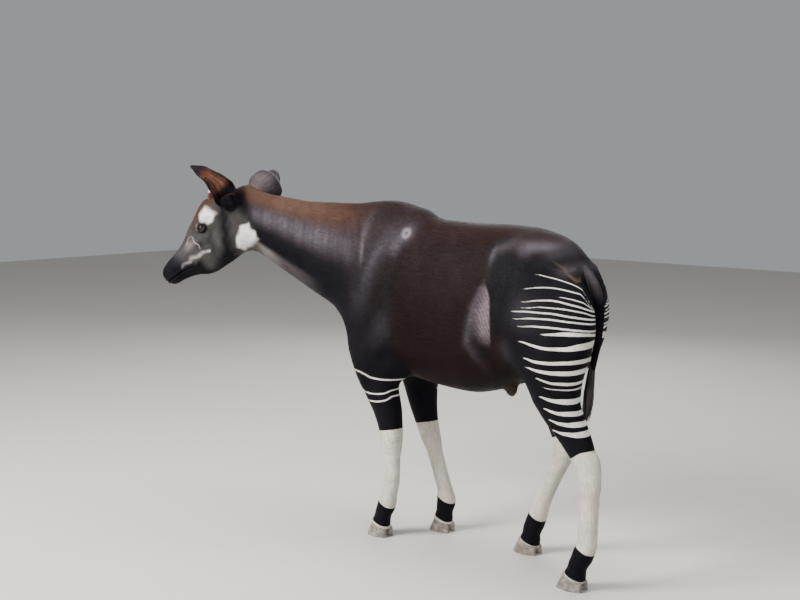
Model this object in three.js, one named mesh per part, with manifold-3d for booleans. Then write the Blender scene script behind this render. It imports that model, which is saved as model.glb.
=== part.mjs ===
// A standing okapi at life size, in millimetres, with +Z up and the nose towards -X.
// The body is one smooth field of lofts and swellings. Each named piece is a skin cast over that
// field, and neighbouring pieces are parted by thin plane cuts.
import * as THREE from "three";
import { mergeVertices } from "three/addons/utils/BufferGeometryUtils.js";
import Module from "manifold-3d";

const wasm = await Module();
wasm.setup();

// Gaps and mesh fineness
const GAP = 0.3; // clear space left between touching pieces
const OVERRUN = 45; // how far a skin runs past its cut before it is trimmed
const SIDES = { torso: 36, neck: 26, head: 32, leg: 14, tail: 10 };

// Trunk: x, top, bottom, half width
const TRUNK = [
  [-690, 1230, 1070, 50],
  [-650, 1350, 965, 100],
  [-590, 1440, 890, 140],
  [-510, 1490, 838, 170],
  [-420, 1507, 778, 190],
  [-280, 1486, 748, 204],
  [-130, 1456, 724, 217],
  [50, 1449, 714, 226],
  [200, 1450, 744, 225],
  [330, 1444, 800, 218],
  [430, 1424, 858, 208],
  [500, 1394, 896, 190],
  [548, 1346, 930, 168],
  [592, 1270, 978, 134],
  [624, 1190, 1028, 90],
  [642, 1130, 1072, 42],
];
const TRUNK_FULLNESS = 2.25; // above 2 the section is squarer than an ellipse
const TRUNK_TAPER = -0.12; // below 0 the section is wider towards the belly

// Neck: it leaves the withers and swings to the left on one plan arc
const NECK_START = new THREE.Vector2(-400, 0);
const NECK_FIRST_HEADING = THREE.MathUtils.degToRad(14.1);
const NECK_ARC_RADIUS = 2040;
// distance along the arc, top, bottom, half width
const NECK = [
  [-120, 1462, 990, 120],
  [0, 1500, 935, 138],
  [130, 1514, 940, 138],
  [230, 1518, 985, 130],
  [330, 1520, 1046, 120],
  [430, 1522, 1106, 108],
  [530, 1536, 1171, 98],
  [620, 1551, 1230, 90],
  [690, 1560, 1278, 85],
  [760, 1560, 1318, 78],
  [815, 1530, 1350, 55],
];
const NECK_FULLNESS = 2.15;
const NECK_TAPER = -0.1;

// Head: heading and droop of its long axis, measured at the poll
const POLL = new THREE.Vector3(-1105, -330, 1552);
const HEAD_HEADING = THREE.MathUtils.degToRad(33);
const HEAD_DROOP = THREE.MathUtils.degToRad(45);
// distance from the poll along the axis, forehead side, jaw side, half width
const HEAD = [
  [-60, 0, -110, 40],
  [-20, 22, -160, 62],
  [30, 40, -192, 73],
  [90, 78, -212, 80],
  [150, 101, -212, 80],
  [195, 91, -206, 79],
  [240, 76, -201, 75],
  [290, 62, -191, 67],
  [335, 44, -182, 58],
  [375, 31, -163, 49],
  [410, 26, -133, 42],
  [445, 23, -112, 38],
  [480, 21, -98, 37],
  [510, 15, -88, 34],
  [532, 1, -76, 27],
  [548, -16, -60, 14],
];
const HEAD_FULLNESS = 2.3;
const HEAD_TAPER = 0.3;

// Legs: height, half depth from front to rear, half width
const FORE_GIRTH = [
  [1080, 96, 58],
  [960, 114, 72],
  [880, 115, 77],
  [800, 109, 76],
  [730, 99, 72],
  [640, 79, 66],
  [575, 67, 59],
  [525, 60, 52],
  [470, 54, 47],
  [420, 49, 42],
  [370, 40, 34],
  [285, 37.5, 32],
  [200, 38, 33],
  [160, 46, 38],
  [130, 46, 39],
  [95, 41, 37],
  [60, 46, 42],
  [15, 49, 44],
];
const HIND_GIRTH = [
  [1280, 104, 62],
  [1200, 148, 82],
  [1130, 170, 94],
  [1050, 177, 102],
  [960, 164, 100],
  [880, 141, 92],
  [820, 122, 82],
  [760, 107, 71],
  [700, 99, 61],
  [640, 86, 53],
  [580, 69, 46],
  [530, 58, 42],
  [490, 52, 40],
  [440, 48, 37],
  [380, 42, 35],
  [300, 41, 34],
  [220, 41, 35],
  [160, 47, 40],
  [125, 47, 41],
  [90, 42, 39],
  [55, 50, 44],
  [15, 56, 46],
];
// Where each leg runs: height, x, distance from the middle plane
const STANCE = {
  fore_left: [
    [1080, -480, 128],
    [880, -457, 134],
    [730, -419, 128],
    [640, -380, 124],
    [575, -358, 121],
    [470, -340, 118],
    [285, -334, 119],
    [150, -364, 121],
    [60, -397, 122],
    [15, -403, 122],
  ],
  fore_right: [
    [1080, -480, 128],
    [880, -432, 132],
    [720, -380, 126],
    [575, -348, 121],
    [470, -315, 119],
    [285, -246, 119],
    [150, -206, 120],
    [60, -224, 121],
    [15, -230, 121],
  ],
  hind_left: [
    [1280, 486, 100],
    [1160, 522, 118],
    [1050, 529, 130],
    [880, 527, 137],
    [760, 546, 136],
    [700, 578, 135],
    [580, 657, 134],
    [490, 704, 134],
    [420, 712, 134],
    [220, 708, 135],
    [150, 690, 136],
    [55, 650, 137],
    [15, 641, 137],
  ],
  hind_right: [
    [1280, 458, 100],
    [1160, 450, 118],
    [1050, 436, 130],
    [880, 400, 133],
    [800, 374, 130],
    [700, 384, 128],
    [580, 418, 125],
    [510, 432, 124],
    [440, 412, 123],
    [300, 348, 121],
    [150, 291, 120],
    [55, 259, 120],
    [15, 249, 120],
  ],
};
const LEG_FULLNESS = 2.2;

// Plane cuts between the legs and the trunk: a point on the cut and its slopes
const FORE_CUT = { x: -420, y: 120, z: 805, outward: 0.5, rearward: -0.35 };
const HIND_CUT = { x: 500, y: 130, z: 862, outward: 0.6, rearward: 0.35 };

// Hooves: two on each foot
const CORONET = { height: 51, rise: 0.4 }; // the hair line climbs towards the toe
const HOOF_SLOPE = { shrink: 0.2, back: 11 }; // how the wall leans back from sole to coronet
const HOOF_CLEFT = 5; // space between the two toes at the sole
const HOOF = {
  fore: { halfLength: 55, width: 42 },
  hind: { halfLength: 60, width: 43 },
};

// Tail: a bowed flesh rod that ends in a tuft of long hair. x, y, z, radius
const TAIL = [
  [505, 0, 1348, 24],
  [549, 0, 1318, 26],
  [588, 0, 1272, 26],
  [627, -1, 1221, 25],
  [652, -3, 1164, 23],
  [661, -5, 1085, 19],
  [655, -7, 985, 16],
  [634, -9, 885, 14],
  [628, -10, 860, 13],
];
const TUFT = { top: 880, bottom: 650, locks: 20, spread: 27, coreRadius: 11, slant: 0.1 };

// Ears: where the root sits on the head (along, up, side), the way each points, opens and bows,
// how far it bows, how far out its broad part reaches, and its outline as shares of that reach
const EAR = { length: 252, thickness: 6, rows: 11, columns: 8 };
const EAR_PLACES = [0, 0.12, 0.3, 0.5, 0.68, 0.85, 0.95, 1]; // shares of the length
const EAR_WRAP = [150, 130, 104, 90, 80, 70, 62, 60]; // degrees that each half of the cup wraps
const EAR_FLESH = [26, 29, 28, 24]; // radii of the root, from inside the skull to the cup's floor
const EAR_LEFT = {
  root: [44, -14, 80],
  points: [0.02, 0.985, 0.17],
  opens: [-0.04, -0.11, 0.99],
  bows: [-0.99, -0.06, -0.1],
  bow: 100,
  reach: 54,
  blunt: 0.72,
  outline: [0.47, 0.91, 1.11, 0.93, 0.64, 0.47, 0.2, 0.07],
};
const EAR_RIGHT = {
  root: [31, -22, -63],
  points: [-0.77, 0.04, -0.64],
  opens: [0.32, -0.31, -0.9],
  bows: [-0.77, -0.64, -0.05],
  bow: 109,
  reach: 74,
  blunt: 1.5,
  outline: [0.5, 0.65, 1.13, 1.06, 0.58, 0.35, 0.19, 0.07],
};

// Horn cores, eyes and the fine forms of the face, all in head coordinates
const OSSICONE = { root: [118, 70, 34], tip: [80, 108, 41], radius: 17, tipRadius: 9 };
const EYE = { at: [226, 4, 74], radius: 21 };
const LID = { halfLength: 27, halfHeight: 17, radius: 5 };
const NOSTRIL = { from: [497, 8, 21], to: [520, -13, 30], radius: 5 };
const MOUTH = { corner: [418, -84, 38], front: [548, -42, 0], depth: 7, lip: 6.5 };

const up = new THREE.Vector3(0, 0, 1);
const vec = (x, y, z) => new THREE.Vector3(x, y, z);

// Smooth values through rows of [position, value, value, ...] sorted either way
function curve(rows) {
  const sorted = [...rows].sort((a, b) => a[0] - b[0]);
  const steps = sorted.slice(1).map((row, i) => row[0] - sorted[i][0]);
  const width = sorted[0].length - 1;
  const slopes = sorted.map((row, i) => {
    const out = [];
    for (let k = 1; k <= width; k++) {
      const before = i > 0 ? (row[k] - sorted[i - 1][k]) / steps[i - 1] : null;
      const after = i < steps.length ? (sorted[i + 1][k] - row[k]) / steps[i] : null;
      if (before === null || after === null) out.push(before ?? after);
      else if (before * after <= 0) out.push(0);
      else out.push((2 * before * after) / (before + after));
    }
    return out;
  });
  const first = sorted[0][0];
  const last = sorted[sorted.length - 1][0];
  const at = (position) => {
    const t = Math.min(Math.max(position, first), last);
    let i = 0;
    while (i < steps.length - 1 && t > sorted[i + 1][0]) i++;
    const h = steps[i];
    const s = (t - sorted[i][0]) / h;
    const out = new Array(width);
    for (let k = 0; k < width; k++) {
      const a = sorted[i][k + 1];
      const b = sorted[i + 1][k + 1];
      const ma = slopes[i][k] * h;
      const mb = slopes[i + 1][k] * h;
      const s2 = s * s;
      const s3 = s2 * s;
      out[k] = (2 * s3 - 3 * s2 + 1) * a + (s3 - 2 * s2 + s) * ma + (3 * s2 - 2 * s3) * b + (s3 - s2) * mb;
    }
    return out;
  };
  return { at, first, last };
}

// Distance, near enough, to a loft. local(p) gives [along, side, height];
// section(along) gives [middle side, high, low, half width].
function loft(section, first, last, local, fullness, taper) {
  return (p) => {
    const [along, side, height] = local(p);
    const [middle, high, low, half] = section(Math.min(Math.max(along, first), last));
    const rise = (high - low) / 2;
    const v = height - (high + low) / 2;
    const lean = 1 + taper * Math.min(Math.max(v / rise, -1), 1);
    const w = half * lean;
    const a = Math.abs(side - middle) / w;
    const b = Math.abs(v) / rise;
    const size = Math.pow(Math.pow(a, fullness) + Math.pow(b, fullness), 1 / fullness);
    let across = -Math.min(w, rise);
    if (size > 1e-4) {
      const gradient = Math.hypot(
        Math.pow(a / size, fullness - 1) / w,
        Math.pow(b / size, fullness - 1) / rise,
      );
      across = (size - 1) / gradient;
    }
    const ends = Math.max(first - along, along - last);
    return Math.min(Math.max(across, ends), 0) + Math.hypot(Math.max(across, 0), Math.max(ends, 0));
  };
}

// Distance to an ellipsoid whose axes are three given directions
function swelling(centre, axes, radii) {
  return (p) => {
    const d = p.clone().sub(centre);
    const q = axes.map((axis, i) => d.dot(axis) / radii[i]);
    const k0 = Math.hypot(...q);
    const k1 = Math.hypot(...q.map((value, i) => value / radii[i]));
    return k1 > 1e-9 ? (k0 * (k0 - 1)) / k1 : -Math.min(...radii);
  };
}

// Joins two distances with a fillet of the given size
function blend(a, b, fillet) {
  const h = Math.max(fillet - Math.abs(a - b), 0) / fillet;
  return Math.min(a, b) - h * h * fillet * 0.25;
}

// Trunk
const trunkCurve = curve(TRUNK);
const trunkField = loft(
  (x) => [0, ...trunkCurve.at(x)],
  trunkCurve.first,
  trunkCurve.last,
  (p) => [p.x, p.y, p.z],
  TRUNK_FULLNESS,
  TRUNK_TAPER,
);

// Neck, whose local frame is the plan arc: distance along it, distance to its left, height
const neckNormal = new THREE.Vector2(Math.sin(NECK_FIRST_HEADING), -Math.cos(NECK_FIRST_HEADING));
const neckCentre = NECK_START.clone().addScaledVector(neckNormal, NECK_ARC_RADIUS);
const neckCurve = curve(NECK);

function neckLocal(p) {
  const dx = p.x - neckCentre.x;
  const dy = p.y - neckCentre.y;
  const heading = Math.atan2(-dx, dy);
  return [(heading - NECK_FIRST_HEADING) * NECK_ARC_RADIUS, NECK_ARC_RADIUS - Math.hypot(dx, dy), p.z];
}

function neckPoint(along, side, height) {
  const heading = NECK_FIRST_HEADING + along / NECK_ARC_RADIUS;
  const reach = NECK_ARC_RADIUS - side;
  return vec(neckCentre.x - reach * Math.sin(heading), neckCentre.y + reach * Math.cos(heading), height);
}

function neckForward(along) {
  const heading = NECK_FIRST_HEADING + along / NECK_ARC_RADIUS;
  return vec(-Math.cos(heading), -Math.sin(heading), 0);
}

const neckField = loft(
  (t) => [0, ...neckCurve.at(t)],
  neckCurve.first,
  neckCurve.last,
  neckLocal,
  NECK_FULLNESS,
  NECK_TAPER,
);

// Head, whose local frame is its long axis, the way up its brow, and its left side
const plan = vec(-Math.cos(HEAD_HEADING), -Math.sin(HEAD_HEADING), 0);
const headAxis = plan.clone().multiplyScalar(Math.cos(HEAD_DROOP)).addScaledVector(up, -Math.sin(HEAD_DROOP));
const headUp = plan.clone().multiplyScalar(Math.sin(HEAD_DROOP)).addScaledVector(up, Math.cos(HEAD_DROOP));
const headLeft = vec(Math.sin(HEAD_HEADING), -Math.cos(HEAD_HEADING), 0);
const headAxes = [headAxis, headUp, headLeft];
const headCurve = curve(HEAD);

function headPoint(along, rise, side) {
  return POLL.clone()
    .addScaledVector(headAxis, along)
    .addScaledVector(headUp, rise)
    .addScaledVector(headLeft, side);
}

function headDirection([along, rise, side]) {
  return headPoint(along, rise, side).sub(POLL).normalize();
}

function headLocal(p) {
  const d = p.clone().sub(POLL);
  return [d.dot(headAxis), d.dot(headLeft), d.dot(headUp)];
}

const skullField = loft(
  (s) => [0, ...headCurve.at(s)],
  headCurve.first,
  headCurve.last,
  headLocal,
  HEAD_FULLNESS,
  HEAD_TAPER,
);

// Swellings of the face, one on each side: where, radii along, up and across, and fillet
const FACE = [
  { at: [214, 26, 66], radii: [46, 30, 20], fillet: 18 }, // brow
  { at: [236, -34, 62], radii: [54, 22, 15], fillet: 20 }, // cheek bone
  { at: [190, -118, 44], radii: [86, 66, 26], fillet: 30 }, // jaw muscle
  { at: [488, -30, 22], radii: [42, 30, 20], fillet: 22 }, // upper lip
  { at: [505, -68, 12], radii: [30, 15, 18], fillet: 16 }, // lower lip
];
const faceFields = FACE.flatMap(({ at: [along, rise, side], radii, fillet }) =>
  [1, -1].map((hand) => ({ field: swelling(headPoint(along, rise, side * hand), headAxes, radii), fillet })),
);

// Legs, whose sections are level
const bodyAxes = [vec(1, 0, 0), vec(0, 1, 0), up];

function legField(name) {
  const girth = curve(name.startsWith("fore") ? FORE_GIRTH : HIND_GIRTH);
  const route = curve(STANCE[name]);
  const hand = name.endsWith("left") ? -1 : 1;
  return loft(
    (z) => {
      const [depth, half] = girth.at(z);
      const [x, y] = route.at(z);
      return [hand * y, x + depth, x - depth, half];
    },
    girth.first,
    girth.last,
    (p) => [p.z, p.y, p.x],
    LEG_FULLNESS,
    0,
  );
}
const LEGS = Object.keys(STANCE);
const legFields = LEGS.map(legField);

// The hock's point stands out behind the hind leg
const HOCK = { rise: 522, back: 40, radii: [22, 17, 42] };
const hockFields = LEGS.filter((name) => name.startsWith("hind")).map((name) => {
  const [x, y] = curve(STANCE[name]).at(HOCK.rise);
  const hand = name.endsWith("left") ? -1 : 1;
  return swelling(vec(x + HOCK.back, hand * y, HOCK.rise), bodyAxes, HOCK.radii);
});

// Lumps of the trunk: the flesh behind each elbow, and the sheath under the belly
const TRUNK_LUMPS = [
  { at: [-335, -98, 795], radii: [92, 52, 62], fillet: 40 },
  { at: [-305, 98, 790], radii: [92, 52, 64], fillet: 40 },
  { at: [236, -4, 752], radii: [30, 20, 36], fillet: 22 },
];
const lumpFields = TRUNK_LUMPS.map(({ at, radii, fillet }) => ({
  field: swelling(vec(...at), bodyAxes, radii),
  fillet,
}));

// The whole animal without ears, horns, eyes, tail and hooves
const LEG_FILLET = 70;
const NECK_FILLET = 110;
const HEAD_FILLET = 60;
const HOCK_FILLET = 26;

function bodyField(p) {
  let legs = 1e6;
  for (const field of legFields) legs = Math.min(legs, field(p));
  for (const field of hockFields) legs = blend(legs, field(p), HOCK_FILLET);
  let body = trunkField(p);
  for (const { field, fillet } of lumpFields) body = blend(body, field(p), fillet);
  body = blend(body, legs, LEG_FILLET);
  body = blend(body, neckField(p), NECK_FILLET);
  if (p.x > -880) return body;
  let head = skullField(p);
  for (const { field, fillet } of faceFields) head = blend(head, field(p), fillet);
  return blend(body, head, HEAD_FILLET);
}

// A plane cut: what lies on the side that the normal points to belongs to the other piece
function cutPlane(point, normal) {
  const n = normal.clone().normalize();
  return { normal: n, offset: n.dot(point), depth: (p) => n.dot(p) - n.dot(point) };
}

const NECK_CUT = { at: vec(-575, -30, 1260), lean: 0.4, heading: THREE.MathUtils.degToRad(20) };
const neckCut = cutPlane(
  NECK_CUT.at,
  vec(-Math.cos(NECK_CUT.heading), -Math.sin(NECK_CUT.heading), NECK_CUT.lean),
);
// The head's cut runs from behind the poll to the throat
const THROAT = [140, -225];
const NAPE = [-8, 30];
const headCutAlong = headPoint(THROAT[0], THROAT[1], 0).sub(headPoint(NAPE[0], NAPE[1], 0));
const headCut = cutPlane(headPoint(NAPE[0], NAPE[1], 0), headCutAlong.clone().cross(headLeft));

function legCut(name) {
  const { x, y, z, outward, rearward } = name.startsWith("fore") ? FORE_CUT : HIND_CUT;
  const hand = name.endsWith("left") ? -1 : 1;
  return cutPlane(vec(x, hand * y, z), vec(rearward, outward * hand, -1));
}
const legCuts = Object.fromEntries(LEGS.map((name) => [name, legCut(name)]));

// The same cut seen from the other piece
function flipped({ normal, offset, depth }) {
  return { normal: normal.clone().negate(), offset: -offset, depth: (p) => -depth(p) };
}

// The field of one piece: the body, stopped a little past each of the piece's cuts
function within(cuts, grow = 0) {
  return (p) => {
    let d = bodyField(p) - grow;
    for (const cut of cuts) d = Math.max(d, cut.depth(p) - OVERRUN);
    return d;
  };
}

// How far from a point, along a direction, the field first turns positive
function reach(field, from, direction, longest) {
  const COARSE = 9;
  const FINE = 14;
  const p = from.clone();
  let inside = 0;
  let outside = longest;
  for (let r = COARSE; r <= longest; r += COARSE) {
    p.copy(from).addScaledVector(direction, r);
    if (field(p) > 0) {
      outside = r;
      break;
    }
    inside = r;
  }
  for (let i = 0; i < FINE; i++) {
    const middle = (inside + outside) / 2;
    p.copy(from).addScaledVector(direction, middle);
    if (field(p) > 0) outside = middle;
    else inside = middle;
  }
  return outside;
}

// A closed mesh from rings of points, each end closed by a fan to one point
function closedSkin(rings, startPoint, endPoint) {
  const sides = rings[0].length;
  const points = [startPoint, ...rings.flat(), endPoint];
  const last = points.length - 1;
  const at = (i, j) => 1 + i * sides + (j % sides);
  const index = [];
  for (let j = 0; j < sides; j++) {
    index.push(0, at(0, j + 1), at(0, j));
    index.push(last, at(rings.length - 1, j), at(rings.length - 1, j + 1));
  }
  for (let i = 0; i + 1 < rings.length; i++) {
    for (let j = 0; j < sides; j++) {
      index.push(at(i, j), at(i, j + 1), at(i + 1, j + 1), at(i, j), at(i + 1, j + 1), at(i + 1, j));
    }
  }
  return solidFrom(points, index);
}

// A manifold solid from points and triangles, turned outward whichever way they were wound
function solidFrom(points, index) {
  const geometry = new THREE.BufferGeometry().setFromPoints(points);
  geometry.setIndex(index);
  const merged = mergeVertices(geometry, 1e-3);
  const vertProperties = merged.attributes.position.array;
  const build = (triVerts) => new wasm.Manifold(new wasm.Mesh({ numProp: 3, vertProperties, triVerts }));
  const triVerts = new Uint32Array(merged.index.array);
  const solid = build(triVerts);
  if (solid.volume() >= 0) return solid;
  for (let i = 0; i < triVerts.length; i += 3) {
    [triVerts[i + 1], triVerts[i + 2]] = [triVerts[i + 2], triVerts[i + 1]];
  }
  return build(triVerts);
}

// Rings cast over a field. Each station has a centre, the ring's normal and its side direction;
// cone is the angle from the normal, 90 degrees for a flat ring and less over a rounded end.
function castSkin(field, stations, sides, longest = 900) {
  const rings = stations.map(({ centre, normal, side, cone = Math.PI / 2 }) => {
    const n = normal.clone().normalize();
    const across = side.clone().addScaledVector(n, -side.dot(n)).normalize();
    const other = n.clone().cross(across);
    const ring = [];
    for (let j = 0; j < sides; j++) {
      const angle = ((j + 0.5) / sides) * 2 * Math.PI;
      const direction = across
        .clone()
        .multiplyScalar(Math.cos(angle) * Math.sin(cone))
        .addScaledVector(other, Math.sin(angle) * Math.sin(cone))
        .addScaledVector(n, Math.cos(cone));
      ring.push(centre.clone().addScaledVector(direction, reach(field, centre, direction, longest)));
    }
    return ring;
  });
  const endPoint = ({ centre, normal, cone = Math.PI / 2 }, hand) => {
    if (cone === Math.PI / 2) return centre.clone();
    const n = normal.clone().normalize().multiplyScalar(hand);
    return centre.clone().addScaledVector(n, reach(field, centre, n, longest));
  };
  return closedSkin(rings, endPoint(stations[0], 1), endPoint(stations[stations.length - 1], 1));
}

// Stations spread evenly along rows of [position, x, y, z, nx, ny, nz]
function stationsAlong(rows, count, side, spread = (t) => t) {
  const track = curve(rows);
  return Array.from({ length: count }, (_, i) => {
    const t = track.first + spread(i / (count - 1)) * (track.last - track.first);
    const [x, y, z, nx, ny, nz] = track.at(t);
    return { centre: vec(x, y, z), normal: vec(nx, ny, nz), side };
  });
}

// The round end of a piece, cast from one centre over narrowing cones
function domeStations(centre, normal, side, cones) {
  return cones.map((degrees) => ({ centre, normal, side, cone: THREE.MathUtils.degToRad(degrees) }));
}

// Trims a solid by each cut and leaves half of the gap on this side of it
function trim(solid, cuts) {
  let out = solid;
  for (const { normal, offset } of cuts) {
    out = out.trimByPlane(normal.clone().negate().toArray(), -(offset - GAP / 2));
  }
  return largest(out);
}

// Keeps the largest closed surface of a solid
function largest(solid) {
  const bodies = solid.decompose();
  bodies.sort((a, b) => b.volume() - a.volume());
  return bodies[0];
}

function fuse(solids) {
  return largest(solids.reduce((sum, solid) => sum.add(solid)));
}

// A closed tube through points, with a radius at each and an optional flattening
function tube(points, radii, sides, flat = 1, flatAxis = up) {
  const rings = points.map((point, i) => {
    const before = points[Math.max(i - 1, 0)];
    const after = points[Math.min(i + 1, points.length - 1)];
    const along = after.clone().sub(before).normalize();
    const across = flatAxis.clone().addScaledVector(along, -flatAxis.dot(along)).normalize();
    const other = along.clone().cross(across);
    return Array.from({ length: sides }, (_, j) => {
      const angle = (j / sides) * 2 * Math.PI;
      return point
        .clone()
        .addScaledVector(across, Math.cos(angle) * radii[i] * flat)
        .addScaledVector(other, Math.sin(angle) * radii[i]);
    });
  });
  return closedSkin(rings, points[0], points[points.length - 1]);
}

// A faceted ball
function ball(centre, radius, columns, rows) {
  const sphere = new THREE.SphereGeometry(radius, columns, rows);
  sphere.translate(centre.x, centre.y, centre.z);
  sphere.deleteAttribute("normal");
  sphere.deleteAttribute("uv");
  const merged = mergeVertices(sphere, 1e-3);
  const points = [];
  for (let i = 0; i < merged.attributes.position.count; i++) {
    points.push(new THREE.Vector3().fromBufferAttribute(merged.attributes.position, i));
  }
  return solidFrom(points, [...merged.index.array].filter((_, i, all) => !isFlat(all, i)));
}

// Whether the triangle that holds index i has two corners alike, as at a sphere's poles
function isFlat(all, i) {
  const first = i - (i % 3);
  return all[first] === all[first + 1] || all[first + 1] === all[first + 2] || all[first] === all[first + 2];
}

// Torso
const legCutList = LEGS.map((name) => legCuts[name]);
const torsoStations = [
  ...stationsAlong(
    [
      [-640, -610, -42, 1258, 0.88, 0.32, -0.37],
      [-480, -470, -18, 1200, 0.93, 0.18, -0.3],
      [-250, -250, 0, 1140, 1, 0, 0],
      [80, 80, 0, 1110, 1, 0, 0],
      [380, 380, 0, 1130, 1, 0, 0],
      [520, 520, 0, 1140, 1, 0, 0],
    ],
    25,
    vec(0, 1, 0),
  ),
  ...domeStations(vec(530, 0, 1140), vec(1, 0, 0), vec(0, 1, 0), [78, 66, 54, 42, 30, 18, 7]),
];
const torsoCuts = [neckCut, ...legCutList];
const castTorso = (grow) => castSkin(within(torsoCuts, grow), torsoStations, SIDES.torso);
const torsoSolid = trim(castTorso(0), torsoCuts);

// Neck
const neckCuts = [flipped(neckCut), headCut];
const neckBase = neckCut.normal;
const neckEnd = headCut.normal;
function neckStation(along, blendToEnd) {
  const [high, low] = neckCurve.at(along);
  const forward = neckForward(along);
  const normal = forward
    .clone()
    .multiplyScalar(1 - Math.abs(2 * blendToEnd - 1))
    .addScaledVector(neckBase, Math.max(1 - 2 * blendToEnd, 0))
    .addScaledVector(neckEnd, Math.max(2 * blendToEnd - 1, 0));
  return { centre: neckPoint(along, 0, (high + low) / 2), normal, side: headLeft.clone().negate() };
}
const NECK_RINGS = 15;
const neckSpan = [150, 790];
const neckStations = Array.from({ length: NECK_RINGS }, (_, i) => {
  const t = i / (NECK_RINGS - 1);
  return neckStation(neckSpan[0] + t * (neckSpan[1] - neckSpan[0]), t);
});
const castNeck = (grow) => castSkin(within(neckCuts, grow), neckStations, SIDES.neck);
const neckSolid = trim(castNeck(0), neckCuts);
const grownNeck = castNeck(GAP);

// Head
const headCuts = [flipped(headCut)];
const HEAD_RINGS = 29;
const headSpan = [26, 478];
const headStations = Array.from({ length: HEAD_RINGS }, (_, i) => {
  const t = i / (HEAD_RINGS - 1);
  const along = headSpan[0] + t * (headSpan[1] - headSpan[0]);
  const [high, low] = headCurve.at(along);
  const turn = Math.max(1 - t * 3, 0);
  const normal = headAxis.clone().multiplyScalar(1 - turn).addScaledVector(headCut.normal, turn);
  return { centre: headPoint(along, high * 0.45 + low * 0.55, 0), normal, side: headLeft };
});
const lastHead = headStations[HEAD_RINGS - 1];
headStations.push(...domeStations(lastHead.centre, headAxis, headLeft, [74, 58, 43, 29, 16, 6]));
const castHead = (grow) => castSkin(within(headCuts, grow), headStations, SIDES.head);
const grownHead = castHead(GAP);

function eyeCentre(hand) {
  return headPoint(EYE.at[0], EYE.at[1], EYE.at[2] * hand);
}

// A lid is a soft rim over the eye: upper when rise is 1, lower when rise is -1
function lid(hand, rise) {
  const LID_STEPS = 7;
  const points = [];
  const radii = [];
  for (let i = 0; i <= LID_STEPS; i++) {
    const t = (i / LID_STEPS) * Math.PI;
    const along = EYE.at[0] - LID.halfLength * Math.cos(t);
    const height = EYE.at[1] + rise * LID.halfHeight * Math.sin(t);
    const from = headPoint(along, height, EYE.at[2] * hand * 0.4);
    const out = headLeft.clone().multiplyScalar(hand);
    points.push(from.clone().addScaledVector(out, reach(bodyField, from, out, 120) - 0.5));
    radii.push(LID.radius * (0.55 + 0.45 * Math.sin(t)));
  }
  return tube(points, radii, 6);
}

// The mouth's line runs from one corner round the front to the other, along the skin
function mouthLine(inset) {
  const MOUTH_STEPS = 8;
  const points = [];
  for (let i = -MOUTH_STEPS; i <= MOUTH_STEPS; i++) {
    const t = Math.abs(i) / MOUTH_STEPS;
    const along = MOUTH.front[0] - 60 + t * (MOUTH.corner[0] - MOUTH.front[0] + 60);
    const rise = MOUTH.front[1] + t * t * (MOUTH.corner[1] - MOUTH.front[1]) - 10 * Math.sin(Math.PI * t);
    const angle = (i / MOUTH_STEPS) * (Math.PI / 2);
    const from = headPoint(along - 8, rise, 0);
    const out = headAxis
      .clone()
      .multiplyScalar(Math.max(Math.cos(angle * 1.25), 0))
      .addScaledVector(headLeft, Math.sin(angle))
      .normalize();
    points.push(from.clone().addScaledVector(out, reach(bodyField, from, out, 160) - inset));
  }
  return points;
}

function headWithFace() {
  const lipPoints = mouthLine(MOUTH.lip * 0.55);
  const lipRadii = lipPoints.map((_, i) => MOUTH.lip * (0.5 + 0.5 * Math.sin((Math.PI * i) / (lipPoints.length - 1))));
  const lips = [1, -1].map((hand) =>
    tube(lipPoints.map((p) => p.clone().addScaledVector(headUp, hand * MOUTH.lip * 0.85)), lipRadii, 5),
  );
  let head = fuse([trim(castHead(0), headCuts), ...lips, ...[1, -1].flatMap((h) => [lid(h, 1), lid(h, -1)])]);
  const cleft = mouthLine(-1);
  head = head.subtract(tube(cleft, cleft.map(() => MOUTH.depth), 4, 0.28, headUp));
  for (const hand of [1, -1]) {
    head = head.subtract(ball(eyeCentre(hand), EYE.radius + GAP, 16, 10));
    const nostril = [0, 0.34, 0.67, 1].map((t) => {
      const [a, b] = [NOSTRIL.from, NOSTRIL.to];
      const along = a[0] + t * (b[0] - a[0]);
      const rise = a[1] + t * (b[1] - a[1]) + 4 * Math.sin(Math.PI * t);
      const from = headPoint(along, rise, 4 * hand);
      const out = headLeft.clone().multiplyScalar(hand).addScaledVector(headAxis, 0.5).normalize();
      return from.clone().addScaledVector(out, reach(bodyField, from, out, 90) - 2);
    });
    head = head.subtract(tube(nostril, [2.5, 5, 6, 3].map((r) => (r * NOSTRIL.radius) / 5), 6));
  }
  return largest(head);
}
const headSolid = headWithFace();

// Eyes
const eyeSolid = (hand) => ball(eyeCentre(hand), EYE.radius, 16, 10);

// Ossicones
function ossiconeSolid(hand) {
  const root = headPoint(OSSICONE.root[0], OSSICONE.root[1], OSSICONE.root[2] * hand);
  const tip = headPoint(OSSICONE.tip[0], OSSICONE.tip[1], OSSICONE.tip[2] * hand);
  const OSSICONE_STEPS = 6;
  const points = [];
  const radii = [];
  for (let i = 0; i <= OSSICONE_STEPS; i++) {
    const t = i / OSSICONE_STEPS;
    points.push(root.clone().lerp(tip, t));
    radii.push((OSSICONE.radius + t * (OSSICONE.tipRadius - OSSICONE.radius)) * (i === OSSICONE_STEPS ? 0.45 : 1));
  }
  return largest(tube(points, radii, 12).subtract(grownHead));
}

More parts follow.
